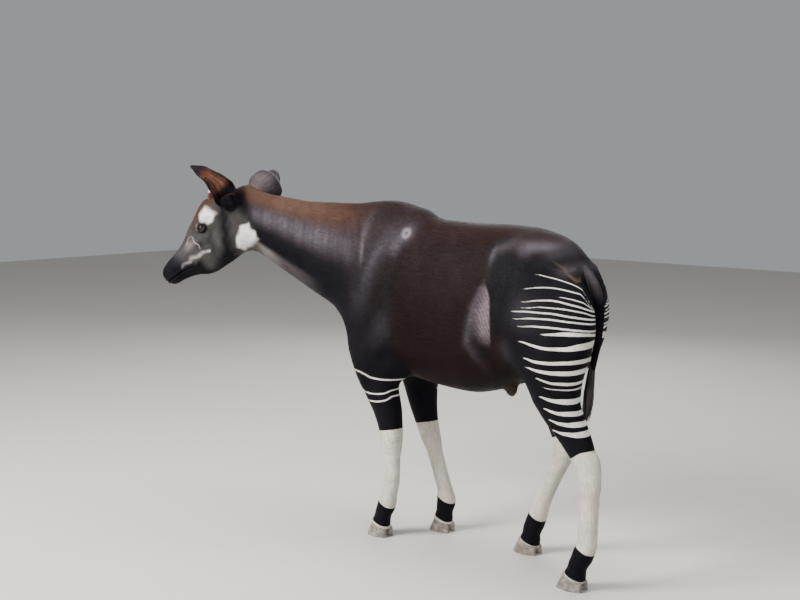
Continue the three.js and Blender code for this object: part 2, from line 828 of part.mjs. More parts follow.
// Ears: an open cup of thin skin that narrows to a soft point, on a fleshy root
function earSolid({ root, points, opens, bows, bow, reach, blunt, outline }) {
  const along = headDirection(points);
  const opening = headDirection(opens);
  opening.addScaledVector(along, -opening.dot(along)).normalize();
  const across = along.clone().cross(opening);
  const base = headPoint(...root);
  const shape = curve(EAR_PLACES.map((t, i) => [t, outline[i], EAR_WRAP[i]]));
  const bowing = headDirection(bows);
  const spine = (t) =>
    base
      .clone()
      .addScaledVector(along, t * EAR.length)
      .addScaledVector(bowing, bow * t * (1 - t));
  const surface = (t, s, inset) => {
    const [width, wrap] = shape.at(Math.pow(t, blunt));
    const half = THREE.MathUtils.degToRad(wrap);
    const w = width * reach;
    const rim = half < Math.PI / 2 ? w / Math.sin(half) : w;
    const radius = Math.max(rim - inset * (1 - 0.55 * Math.abs(s)), rim * 0.3);
    return spine(t)
      .addScaledVector(opening, rim * 0.55 - w * 0.35)
      .addScaledVector(opening, -radius * Math.cos(s * half))
      .addScaledVector(across, radius * Math.sin(s * half));
  };
  const rings = [];
  for (let i = 0; i <= EAR.rows; i++) {
    const t = i / EAR.rows;
    const ring = [];
    const thickness = EAR.thickness * (1 - 0.45 * t);
    for (let j = 0; j <= EAR.columns; j++) ring.push(surface(t, (2 * j) / EAR.columns - 1, 0));
    for (let j = EAR.columns; j >= 0; j--) ring.push(surface(t, (2 * j) / EAR.columns - 1, thickness));
    rings.push(ring);
  }
  const deep = headPoint(root[0] + 10, root[1] - 34, root[2] * 0.4);
  const shallow = headPoint(root[0] + 4, root[1] - 14, root[2] * 0.75);
  const flesh = tube([deep, shallow, spine(0), spine(0.06)], EAR_FLESH, 12);
  return largest(fuse([stripSkin(rings), flesh]).subtract(grownHead).subtract(grownNeck));
}

// A closed skin whose end rings are thin bands: each end is closed by pairing its two edges
function stripSkin(rings) {
  const sides = rings[0].length;
  const points = rings.flat();
  const at = (i, j) => i * sides + (j % sides);
  const index = [];
  for (let i = 0; i + 1 < rings.length; i++) {
    for (let j = 0; j < sides; j++) {
      index.push(at(i, j), at(i, j + 1), at(i + 1, j + 1), at(i, j), at(i + 1, j + 1), at(i + 1, j));
    }
  }
  for (const [row, turned] of [
    [0, true],
    [rings.length - 1, false],
  ]) {
    for (let j = 0; j < sides / 2 - 1; j++) {
      const [a, b] = [at(row, j), at(row, j + 1)];
      const [c, d] = [at(row, sides - 2 - j), at(row, sides - 1 - j)];
      if (turned) index.push(a, c, b, a, d, c);
      else index.push(a, b, c, a, c, d);
    }
  }
  return solidFrom(points, index);
}

// Legs
const LEG_UPPER_RINGS = 9;
const LEG_LOWER_LEVELS = [560, 525, 495, 465, 430, 385, 330, 250, 190, 163, 138, 115, 90, 66, 40, 15];

function coronetCut(name) {
  const [x, y] = curve(STANCE[name]).at(CORONET.height);
  const hand = name.endsWith("left") ? -1 : 1;
  return cutPlane(vec(x, hand * y, CORONET.height), vec(-CORONET.rise, 0, -1));
}

function legSolid(name) {
  const hand = name.endsWith("left") ? -1 : 1;
  const route = curve(STANCE[name]);
  const topCut = legCuts[name];
  const cuts = [flipped(topCut), coronetCut(name)];
  const top = name.startsWith("fore") ? 850 : 905;
  const upper = Array.from({ length: LEG_UPPER_RINGS }, (_, i) => top - (i * (top - 560)) / LEG_UPPER_RINGS);
  const stations = [...upper, ...LEG_LOWER_LEVELS].map((z) => {
    const [x, y] = route.at(z);
    const turn = Math.min(Math.max((z - top + 210) / 190, 0), 1);
    const normal = vec(0, 0, -1).multiplyScalar(1 - turn).addScaledVector(topCut.normal, turn);
    return { centre: vec(x, hand * y, z), normal, side: vec(1, 0, 0) };
  });
  return trim(castSkin(within(cuts), stations, SIDES.leg, 320), cuts);
}

// A hoof: flat sole, rounded outer wall, flat inner wall, and a top that meets the coronet
function hoofSolid(name, toe) {
  const { halfLength, width } = name.startsWith("fore") ? HOOF.fore : HOOF.hind;
  const hand = name.endsWith("left") ? -1 : 1;
  const [x, y] = curve(STANCE[name]).at(0);
  const cut = coronetCut(name);
  const OUTLINE = 12;
  const outline = (z) => {
    const t = z / CORONET.height;
    const length = halfLength * (1 - HOOF_SLOPE.shrink * t);
    const side = width * (1 - 0.1 * t);
    const centre = vec(x + HOOF_SLOPE.back * t, hand * y, z);
    const points = [];
    for (let j = 0; j < OUTLINE; j++) {
      const angle = (j / OUTLINE) * 2 * Math.PI;
      const forward = Math.cos(angle);
      const lateral = 0.5 + 0.5 * Math.sin(angle) * (forward > 0 ? 1 - 0.25 * forward * forward : 1);
      const reachOut = HOOF_CLEFT / 2 + (forward > 0 ? 1.5 * forward : 0) + lateral * side;
      points.push(centre.clone().add(vec(-forward * length, toe * reachOut, 0)));
    }
    return points;
  };
  const levels = [0, 6, 36, 80];
  const rings = levels.map((z) => outline(z));
  const bottom = vec(x, hand * y + toe * (width / 2), 0);
  const topPoint = vec(x + 10, hand * y + toe * (width / 2), 80);
  return trim(closedSkin(rings, bottom, topPoint), [flipped(cut)]);
}

// Tail and its tuft
function tailCentre() {
  return TAIL.map(([x, y, z]) => vec(x, y, z));
}
const tailCurve = new THREE.CatmullRomCurve3(tailCentre());
const tailRadius = curve(TAIL.map(([, , , radius], i) => [i / (TAIL.length - 1), radius]));
const tuftCut = cutPlane(vec(0, 0, TUFT.top), vec(0, 0, -1));

function tailSolid() {
  const TAIL_STEPS = 18;
  const points = tailCurve.getPoints(TAIL_STEPS);
  const end = points[TAIL_STEPS].clone().add(vec(-1, -1, -20));
  const radii = points.map((_, i) => tailRadius.at(i / TAIL_STEPS)[0]);
  const rod = tube([...points, end], [...radii, radii[TAIL_STEPS]], SIDES.tail, 1, vec(0, 1, 0));
  return largest(trim(rod, [tuftCut]).subtract(castTorso(GAP)));
}

// A seeded run of numbers between 0 and 1
function draws(seed) {
  let state = seed;
  return () => {
    state = (state * 16807) % 2147483647;
    return state / 2147483647;
  };
}

// A lock: a flat ribbon of hair that tapers to a point and bends as it falls
function lock(root, tip, bulge, width, facing) {
  const LOCK_STEPS = 4;
  const points = [];
  const radii = [];
  for (let i = 0; i <= LOCK_STEPS; i++) {
    const t = i / LOCK_STEPS;
    points.push(root.clone().lerp(tip, t).addScaledVector(facing, bulge * Math.sin(Math.PI * t)));
    radii.push(width * [0.7, 1, 0.9, 0.6, 0.14][i]);
  }
  return tube(points, radii, 5, 0.38, facing);
}

function tuftSolid() {
  const next = draws(417);
  const [x, y] = [TAIL[TAIL.length - 1][0], TAIL[TAIL.length - 1][1]];
  const length = TUFT.top - TUFT.bottom;
  const hang = (drop) => vec(x + 4 - drop * length * TUFT.slant, y, TUFT.top - drop * length);
  const core = tube([-0.04, 0.15, 0.3, 0.45].map(hang), [12.5, 15, 13, 6], 10);
  const locks = Array.from({ length: TUFT.locks }, (_, i) => {
    const angle = (i * 2.4 + next() * 0.4) % (2 * Math.PI);
    const facing = vec(Math.cos(angle), Math.sin(angle), 0);
    const start = 0.03 + 0.3 * (i / TUFT.locks);
    const drop = 0.72 + 0.28 * next();
    const root = hang(start).addScaledVector(facing, TUFT.coreRadius - 3);
    const tip = hang(drop).addScaledVector(facing, 4 + 16 * next());
    return lock(root, tip, TUFT.spread * (0.15 + 0.25 * next()), 9 + 3 * next(), facing);
  });
  return trim(fuse([core, ...locks]), [flipped(tuftCut)]);
}

// Colours
const finish = (color, roughness) => ({ color, roughness, metalness: 0 });
const FINISHES = {
  coat: finish(0x3b2420, 0.62),
  neck: finish(0x4a2a22, 0.62),
  face: finish(0x77706a, 0.65),
  stocking: finish(0xd9d4ca, 0.7),
  ear: finish(0x5b3327, 0.7),
  horn: finish(0x8d7266, 0.6),
  eye: finish(0x0d0908, 0.15),
  hoof: finish(0x6a6258, 0.55),
  tuft: finish(0x17110f, 0.6),
};

// Assembly
const group = new THREE.Group();

function addPiece(name, solid, finishName) {
  const { vertProperties, triVerts, numProp } = solid.getMesh();
  const positions = new Float32Array(triVerts.length * 3);
  triVerts.forEach((vertex, i) => {
    positions.set(vertProperties.subarray(vertex * numProp, vertex * numProp + 3), i * 3);
  });
  const geometry = new THREE.BufferGeometry().setAttribute("position", new THREE.BufferAttribute(positions, 3));
  geometry.computeVertexNormals();
  const mesh = new THREE.Mesh(geometry, new THREE.MeshStandardMaterial(FINISHES[finishName]));
  mesh.name = name;
  group.add(mesh);
}

addPiece("torso", torsoSolid, "coat");
addPiece("neck", neckSolid, "neck");
addPiece("head", headSolid, "face");
addPiece("ear_left", earSolid(EAR_LEFT), "ear");
addPiece("ear_right", earSolid(EAR_RIGHT), "ear");
addPiece("eye_left", eyeSolid(1), "eye");
addPiece("eye_right", eyeSolid(-1), "eye");
addPiece("ossicone_left", ossiconeSolid(1), "horn");
addPiece("ossicone_right", ossiconeSolid(-1), "horn");
for (const name of LEGS) {
  addPiece(`leg_${name}`, legSolid(name), "stocking");
  addPiece(`hoof_${name}_outer`, hoofSolid(name, name.endsWith("left") ? -1 : 1), "hoof");
  addPiece(`hoof_${name}_inner`, hoofSolid(name, name.endsWith("left") ? 1 : -1), "hoof");
}
addPiece("tail", tailSolid(), "coat");
addPiece("tail_tuft", tuftSolid(), "tuft");

// The origin is under the middle of the whole animal, on the ground
const box = new THREE.Box3().setFromObject(group);
const middle = box.getCenter(new THREE.Vector3());
group.position.set(-middle.x, -middle.y, -box.min.z);

export default group;
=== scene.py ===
"""A life-size okapi, standing still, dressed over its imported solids: one skin with a short coat,
cupped ears, hair-covered horns, wet eyes, cloven hooves and a tail tuft."""

import logging
import math
from dataclasses import dataclass
from enum import Enum
from typing import Callable, Sequence

import bmesh
import bpy
import numpy as np
from mathutils import Matrix, Vector


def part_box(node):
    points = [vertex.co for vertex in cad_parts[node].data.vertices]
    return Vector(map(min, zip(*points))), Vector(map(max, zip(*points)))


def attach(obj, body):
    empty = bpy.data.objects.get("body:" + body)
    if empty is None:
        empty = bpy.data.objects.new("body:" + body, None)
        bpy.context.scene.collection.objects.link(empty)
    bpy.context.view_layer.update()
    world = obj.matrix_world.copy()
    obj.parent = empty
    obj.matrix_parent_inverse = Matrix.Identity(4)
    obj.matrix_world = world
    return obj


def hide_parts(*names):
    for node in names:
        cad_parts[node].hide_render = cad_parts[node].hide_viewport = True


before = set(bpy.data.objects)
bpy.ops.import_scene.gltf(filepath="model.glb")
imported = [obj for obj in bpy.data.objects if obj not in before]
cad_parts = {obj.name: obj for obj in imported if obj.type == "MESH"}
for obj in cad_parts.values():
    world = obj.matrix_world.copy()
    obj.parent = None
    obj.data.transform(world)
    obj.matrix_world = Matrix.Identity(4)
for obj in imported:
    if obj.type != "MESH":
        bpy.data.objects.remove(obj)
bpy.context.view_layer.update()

LOG = logging.getLogger("okapi")
Array = np.ndarray
Piece = bpy.types.Object
Socket = bpy.types.NodeSocket
Material = bpy.types.Material
MM = 0.001
BODY = "root"
EAR_SEED = 31
LASH_SEED = 11
TUFT_SEED = 417
COAT_SEED = 101
EDGE_LIMIT = 12.0


class Side(Enum):
    """Which side of the animal: the left one faces the camera."""

    LEFT = 1
    RIGHT = -1

    @property
    def hand(self) -> int:
        """Sign of Y on this side of the body."""
        return -self.value

    @property
    def word(self) -> str:
        """The side as the node names say it."""
        return self.name.lower()


# Forms of the body, in millimetres in the animal's own frame: nose towards -X, +Z up

TRUNK = (  # x, top, bottom, half width
    (-690, 1230, 1070, 50), (-650, 1350, 965, 100), (-590, 1440, 890, 140), (-510, 1490, 838, 170),
    (-420, 1507, 778, 190), (-280, 1486, 748, 204), (-130, 1456, 724, 217), (50, 1449, 714, 226),
    (200, 1450, 744, 225), (330, 1444, 800, 218), (430, 1424, 858, 208), (500, 1394, 896, 190),
    (548, 1346, 930, 168), (592, 1270, 978, 134), (624, 1190, 1028, 90), (642, 1130, 1072, 42),
)
TRUNK_LUMPS = (  # place, radii, fillet: the flesh behind each elbow, and the sheath under the belly
    ((-335, -98, 795), (92, 52, 62), 40),
    ((-305, 98, 790), (92, 52, 64), 40),
    ((236, -4, 752), (30, 20, 36), 22),
)
NECK_START = (-400.0, 0.0)
NECK_HEADING = math.radians(14.1)
NECK_ARC = 2040.0
NECK = (  # distance along the arc, top, bottom, half width
    (-120, 1462, 990, 120), (0, 1500, 935, 138), (130, 1514, 940, 138), (230, 1518, 985, 130),
    (330, 1520, 1046, 120), (430, 1522, 1106, 108), (530, 1536, 1171, 98), (620, 1551, 1230, 90),
    (690, 1560, 1278, 85), (760, 1560, 1318, 78), (815, 1530, 1350, 55),
)
POLL = (-1105.0, -330.0, 1552.0)
HEAD_HEADING = math.radians(33)
HEAD_DROOP = math.radians(45)
HEAD = (  # distance from the poll, forehead side, jaw side, half width
    (-60, 0, -110, 40), (-20, 22, -160, 62), (30, 40, -192, 73), (90, 78, -212, 80), (150, 101, -212, 80),
    (195, 91, -206, 79), (240, 76, -201, 75), (290, 62, -191, 67), (335, 44, -182, 58),
    (375, 31, -163, 49), (410, 26, -133, 42), (445, 23, -112, 38), (480, 21, -98, 37), (510, 15, -88, 34),
    (532, 1, -76, 27), (548, -16, -60, 14),
)
FACE_SWELLINGS = (  # place in the head, radii, fillet
    ((214, 26, 66), (46, 30, 20), 18),
    ((236, -34, 62), (54, 22, 15), 20),
    ((190, -118, 44), (86, 66, 26), 30),
    ((488, -30, 22), (42, 30, 20), 22),
    ((505, -68, 12), (30, 15, 18), 16),
)
FORE_GIRTH = (  # height, half depth, half width
    (1080, 96, 58), (960, 114, 72), (880, 115, 77), (800, 109, 76), (730, 99, 72), (640, 79, 66),
    (575, 67, 59), (525, 60, 52), (470, 54, 47), (420, 49, 42), (370, 40, 34), (285, 37.5, 32),
    (200, 38, 33), (160, 46, 38), (130, 46, 39), (95, 41, 37), (60, 46, 42), (15, 49, 44),
)
HIND_GIRTH = (
    (1280, 104, 62), (1200, 148, 82), (1130, 170, 94), (1050, 177, 102), (960, 164, 100), (880, 141, 92),
    (820, 122, 82), (760, 107, 71), (700, 99, 61), (640, 86, 53), (580, 69, 46), (530, 58, 42),
    (490, 52, 40), (440, 48, 37), (380, 42, 35), (300, 41, 34), (220, 41, 35), (160, 47, 40),
    (125, 47, 41), (90, 42, 39), (55, 50, 44), (15, 56, 46),
)
STANCE = {  # height, x, distance from the middle plane
    "fore_left": (
        (1080, -480, 128), (880, -457, 134), (730, -419, 128), (640, -380, 124), (575, -358, 121),
        (470, -340, 118), (285, -334, 119), (150, -364, 121), (60, -397, 122), (15, -403, 122),
    ),
    "fore_right": (
        (1080, -480, 128), (880, -432, 132), (720, -380, 126), (575, -348, 121), (470, -315, 119),
        (285, -246, 119), (150, -206, 120), (60, -224, 121), (15, -230, 121),
    ),
    "hind_left": (
        (1280, 486, 100), (1160, 522, 118), (1050, 529, 130), (880, 527, 137), (760, 546, 136),
        (700, 578, 135), (580, 657, 134), (490, 704, 134), (420, 712, 134), (220, 708, 135),
        (150, 690, 136), (55, 650, 137), (15, 641, 137),
    ),
    "hind_right": (
        (1280, 458, 100), (1160, 450, 118), (1050, 436, 130), (880, 400, 133), (800, 374, 130),
        (700, 384, 128), (580, 418, 125), (510, 432, 124), (440, 412, 123), (300, 348, 121),
        (150, 291, 120), (55, 259, 120), (15, 249, 120),
    ),
}
TAIL = (  # x, y, z, radius
    (505, 0, 1348, 24), (549, 0, 1318, 26), (588, 0, 1272, 26), (627, -1, 1221, 25), (652, -3, 1164, 23),
    (661, -5, 1085, 19), (655, -7, 985, 16), (634, -9, 885, 14), (628, -10, 860, 13),
)
CORONET_HEIGHT = 51.0
CORONET_RISE = 0.4


class Rows:
    """Smooth values through rows of a position and its values."""

    def __init__(self, rows: Sequence[Sequence[float]]) -> None:
        table = np.array(sorted(rows), float)
        self.place = table[:, 0]
        self.value = table[:, 1:]
        rise = np.diff(self.value, axis=0) / np.diff(self.place)[:, None]
        slope = np.zeros_like(self.value)
        slope[0], slope[-1] = rise[0], rise[-1]
        before, after = rise[:-1], rise[1:]
        alike = before * after > 0
        slope[1:-1] = np.where(alike, 2 * before * after / np.where(alike, before + after, 1), 0)
        self.slope = slope

    def at(self, place: Array | float) -> Array:
        """Gives the values at each position.

        Args:
            place: The positions, clamped to the rows' own range.

        Returns:
            One row of numbers for each value column.
        """
        p = np.clip(np.atleast_1d(np.asarray(place, float)), self.place[0], self.place[-1])
        i = np.clip(np.searchsorted(self.place, p, side="right") - 1, 0, len(self.place) - 2)
        span = (self.place[i + 1] - self.place[i])[:, None]
        s = (p - self.place[i])[:, None] / span
        s2, s3 = s * s, s * s * s
        return (
            (2 * s3 - 3 * s2 + 1) * self.value[i]
            + (s3 - 2 * s2 + s) * self.slope[i] * span
            + (3 * s2 - 2 * s3) * self.value[i + 1]
            + (s3 - s2) * self.slope[i + 1] * span
        ).T


def bell(value: Array, place: float, width: float) -> Array:
    """A soft hump: 1 where the value is at the place, falling away over the width."""
    return np.exp(-(((value - place) / width) ** 2))


def smooth(value: Array, low: float, high: float) -> Array:
    """A smooth step from 0 at low to 1 at high, which may lie either way round."""
    t = np.clip((value - low) / (high - low), 0, 1)
    return t * t * (3 - 2 * t)


def unit(vectors: Array) -> Array:
    """The vectors at length one."""
    return vectors / np.maximum(np.linalg.norm(vectors, axis=-1, keepdims=True), 1e-9)


def turns(count: int) -> Array:
    """Evenly spaced angles round a full turn, in radians."""
    return np.arange(count) / count * 2 * math.pi


def share_of_turn(side: Array, front: Array) -> Array:
    """How far round each point lies, from 0 to 1, with 0.5 at the front."""
    return np.arctan2(side, front) / (2 * math.pi) + 0.5


def spread(row: Sequence[float], count: int) -> Array:
    """One colour or direction, repeated for a number of points."""
    return np.tile(np.array(row), (count, 1))


def blend(a: Array, b: Array, fillet: float) -> Array:
    """Joins two distances with a fillet of the given size."""
    h = np.maximum(fillet - np.abs(a - b), 0) / fillet
    return np.minimum(a, b) - h * h * fillet * 0.25


def carve(a: Array, b: Array, fillet: float) -> Array:
    """Takes the form of distance b out of the form of distance a, with a rounded edge."""
    return -blend(-a, b, fillet)


def loft(across: tuple, along: Array, span: Rows, section: Array, fullness: float, taper: float) -> Array:
    """Distance, near enough, to a loft.

    Args:
        across: Side and height of each point.
        along: Each point's place along the loft.
        span: The rows whose range the loft covers.
        section: Middle side, high, low and half width at each point.
        fullness: Above 2 the section is squarer than an ellipse.
        taper: Below 0 the section is wider at its low side.

    Returns:
        The distance of each point, negative inside.
    """
    side, height = across
    middle, high, low, half = section
    rise = (high - low) / 2
    v = height - (high + low) / 2
    w = half * (1 + taper * np.clip(v / rise, -1, 1))
    a = np.abs(side - middle) / w
    b = np.abs(v) / rise
    size = np.maximum((a**fullness + b**fullness) ** (1 / fullness), 1e-4)
    gradient = np.hypot((a / size) ** (fullness - 1) / w, (b / size) ** (fullness - 1) / rise)
    out = (size - 1) / gradient
    ends = np.maximum(span.place[0] - along, along - span.place[-1])
    return np.minimum(np.maximum(out, ends), 0) + np.hypot(np.maximum(out, 0), np.maximum(ends, 0))


def swelling(p: Array, centre: Array, axes: Array, radii: Sequence[float]) -> Array:
    """Distance, near enough, to an ellipsoid with the given axes."""
    q = (p - centre) @ np.asarray(axes).T / np.array(radii, float)
    k0 = np.linalg.norm(q, axis=1)
    k1 = np.linalg.norm(q / np.array(radii, float), axis=1)
    return k0 * (k0 - 1) / np.maximum(k1, 1e-9)


def polyline(p: Array, route: Array) -> tuple[Array, Array]:
    """Distance from each point to a line through several points.

    Args:
        p: The points, in two or three coordinates.
        route: The line's own points.

    Returns:
        The distances, and how far along the line, from 0 to 1, the nearest place lies.
    """
    route = np.asarray(route, float)
    best = np.full(len(p), 1e9)
    where = np.zeros(len(p))
    count = len(route) - 1
    for i in range(count):
        step = route[i + 1] - route[i]
        t = np.clip((p - route[i]) @ step / max(step @ step, 1e-9), 0, 1)
        d = np.linalg.norm(p - route[i] - t[:, None] * step, axis=1)
        nearer = d < best
        best = np.where(nearer, d, best)
        where = np.where(nearer, (i + t) / count, where)
    return best, where


class HeadFrame:
    """The head's own coordinates: along from the poll to the nose, up from the brow, and left."""

    def __init__(self) -> None:
        flat = np.array([-math.cos(HEAD_HEADING), -math.sin(HEAD_HEADING), 0])
        rise = np.array([0.0, 0.0, 1.0])
        self.along = flat * math.cos(HEAD_DROOP) - rise * math.sin(HEAD_DROOP)
        self.up = flat * math.sin(HEAD_DROOP) + rise * math.cos(HEAD_DROOP)
        self.left = np.array([math.sin(HEAD_HEADING), -math.cos(HEAD_HEADING), 0])
        self.axes = np.array([self.along, self.up, self.left])
        self.poll = np.array(POLL)

    def point(self, place: Sequence[float], hand: int = 1) -> Array:
        """The body place of a head place, with its side turned by hand."""
        a, u, s = place
        return self.poll + self.along * a + self.up * u + self.left * s * hand

    def direction(self, way: Sequence[float]) -> Array:
        """The unit body direction of a head direction."""
        return unit(np.asarray(way, float) @ self.axes)

    def local(self, p: Array) -> Array:
        """Along, up and left of each body point."""
        return (p - self.poll) @ self.axes.T


HEAD_FRAME = HeadFrame()


@dataclass(frozen=True)
class Eye:
    """Where the eyeballs sit and how the lids open."""

    place: tuple = (226.0, 4.0, 74.0)
    radius: float = 21.0
    lid: float = 3.0
    opening: tuple = (17.5, 12.0, 24.0)
    opening_out: float = 13.0

    def centre(self, side: Side) -> Array:
        """The eyeball's middle on one side."""
        return HEAD_FRAME.point(self.place, side.value)

    def open_centre(self, side: Side) -> Array:
        """The middle of the form that parts the lids."""
        a, u, s = self.place
        return HEAD_FRAME.point((a, u - 1, s + self.opening_out), side.value)


EYE = Eye()


@dataclass(frozen=True)
class EarPose:
    """One ear: its root in the head, the way it points, opens and bows, its outline and bluntness."""

    side: Side
    root: tuple
    points: tuple
    opens: tuple
    bows: tuple
    bow: float
    reach: float
    blunt: float
    outline: tuple

    def spine(self, t: Array | float) -> Array:
        """The middle of the ear at each share of its length."""
        t = np.asarray(t, float)[..., None]
        along = HEAD_FRAME.direction(self.points) * EAR_LENGTH
        bowed = HEAD_FRAME.direction(self.bows) * self.bow
        return HEAD_FRAME.point(self.root) + along * t + bowed * t * (1 - t)

    def flesh(self) -> Array:
        """The middle of the ear's fleshy root, from inside the skull to the cup's floor."""
        a, u, s = self.root
        inner = [HEAD_FRAME.point((a + 10, u - 34, s * 0.4)), HEAD_FRAME.point((a + 4, u - 14, s * 0.75))]
        return np.array([*inner, self.spine(0.0), self.spine(0.06)])


EAR_LENGTH = 252.0
EAR_PLACES = (0, 0.12, 0.3, 0.5, 0.68, 0.85, 0.95, 1)
EAR_WRAP = (150, 130, 104, 90, 80, 70, 62, 60)
EAR_FLESH = (26, 29, 28, 24)
EARS = (
    EarPose(
        side=Side.LEFT,
        root=(44, -14, 80),
        points=(0.02, 0.985, 0.17),
        opens=(-0.04, -0.11, 0.99),
        bows=(-0.99, -0.06, -0.1),
        bow=100,
        reach=54,
        blunt=0.72,
        outline=(0.47, 0.91, 1.11, 0.93, 0.64, 0.47, 0.2, 0.07),
    ),
    EarPose(
        side=Side.RIGHT,
        root=(31, -22, -63),
        points=(-0.77, 0.04, -0.64),
        opens=(0.32, -0.31, -0.9),
        bows=(-0.77, -0.64, -0.05),
        bow=109,
        reach=74,
        blunt=1.5,
        outline=(0.5, 0.65, 1.13, 1.06, 0.58, 0.35, 0.19, 0.07),
    ),
)


class Limb:
    """One leg: level sections along a route from the trunk to the ground."""

    def __init__(self, name: str) -> None:
        self.name = name
        self.hind = name.startswith("hind")
        self.side = Side.LEFT if name.endswith("left") else Side.RIGHT
        self.girth = Rows(HIND_GIRTH if self.hind else FORE_GIRTH)
        self.route = Rows(STANCE[name])

    def centre(self, height: Array | float) -> tuple[Array, Array]:
        """X and Y of the leg's middle at each height."""
        x, y = self.route.at(height)
        return x, y * self.side.hand

    def distance(self, p: Array) -> Array:
        """Distance of each point to the leg, cut level with the hair line over the hoof."""
        depth, half = self.girth.at(p[:, 2])
        x, y = self.centre(p[:, 2])
        d = loft((p[:, 1], p[:, 0]), p[:, 2], self.girth, (y, x + depth, x - depth, half), 2.2, 0)
        normal, at = self.coronet()
        return np.maximum(d, (p - at) @ normal)

    def coronet(self) -> tuple[Array, Array]:
        """The normal of the hair line's plane, towards the hoof, and a point on it."""
        x, y = self.centre(CORONET_HEIGHT)
        return unit(np.array([-CORONET_RISE, 0, -1])), np.array([x[0], y[0], CORONET_HEIGHT])

    def angle(self, p: Array) -> Array:
        """Degrees round the leg: 0 outward, 90 rearward, -90 forward and 180 inward."""
        x, y = self.centre(p[:, 2])
        return np.degrees(np.arctan2(p[:, 0] - x, (p[:, 1] - y) * self.side.hand))


@dataclass(frozen=True)
class Stroke:
    """A soft ridge or groove on both flanks, drawn in side view."""

    route: tuple
    width: float
    height: float

    def lift(self, p: Array) -> Array:
        """How far the stroke raises the skin at each point."""
        d, t = polyline(p[:, [0, 2]], self.route)
        fade = np.sin(np.pi * np.clip(t, 0.06, 0.94)) ** 0.6
        return self.height * bell(d, 0, self.width) * fade


STROKES = (
    Stroke(((-585, 1450), (-560, 1380), (-500, 1270)), 16, -5),
    Stroke(((-545, 1470), (-515, 1390), (-455, 1290)), 14, -4),
    Stroke(((-610, 1440), (-590, 1360), (-540, 1250)), 20, 4),
    Stroke(((-300, 1450), (-390, 1280), (-470, 1080)), 34, 8),
    Stroke(((-255, 1380), (-300, 1180), (-330, 1000)), 40, -8),
    Stroke(((-300, 1060), (-360, 930), (-400, 860)), 46, 9),
    Stroke(((-290, 930), (-330, 860), (-350, 800)), 26, -7),
    Stroke(((233, 1291), (256, 1352), (371, 1416)), 30, 7),
    Stroke(((205, 1300), (225, 1362), (345, 1432)), 22, -6),
    Stroke(((238, 1230), (190, 1110), (165, 960), (230, 860)), 24, 8),
    Stroke(((270, 1230), (225, 1110), (215, 960), (280, 880)), 28, -9),
    Stroke(((340, 1010), (370, 930), (400, 860)), 40, 8),
    Stroke(((600, 1130), (610, 1000), (600, 880)), 30, -6),
    Stroke(((560, 1160), (540, 1000), (520, 880)), 44, 5),
)


SHEENS = (  # painted sheen highlights on the flanks: place, size, weight
    ((445, 1372), (80, 22), 0.6),
    ((385, 1350), (34, 30), 0.35),
    ((520, 1335), (40, 26), 0.4),
    ((245, 1330), (14, 34), 0.35),
    ((-560, 1425), (26, 60), 0.35),
    ((-470, 1400), (20, 70), 0.3),
)
HOLLOW = (  # the flank's dark hollow before the thigh, as x and height
    (262, 1330), (330, 1350), (400, 1300), (392, 1180), (372, 1040), (300, 1000), (270, 1100), (262, 1230),
)


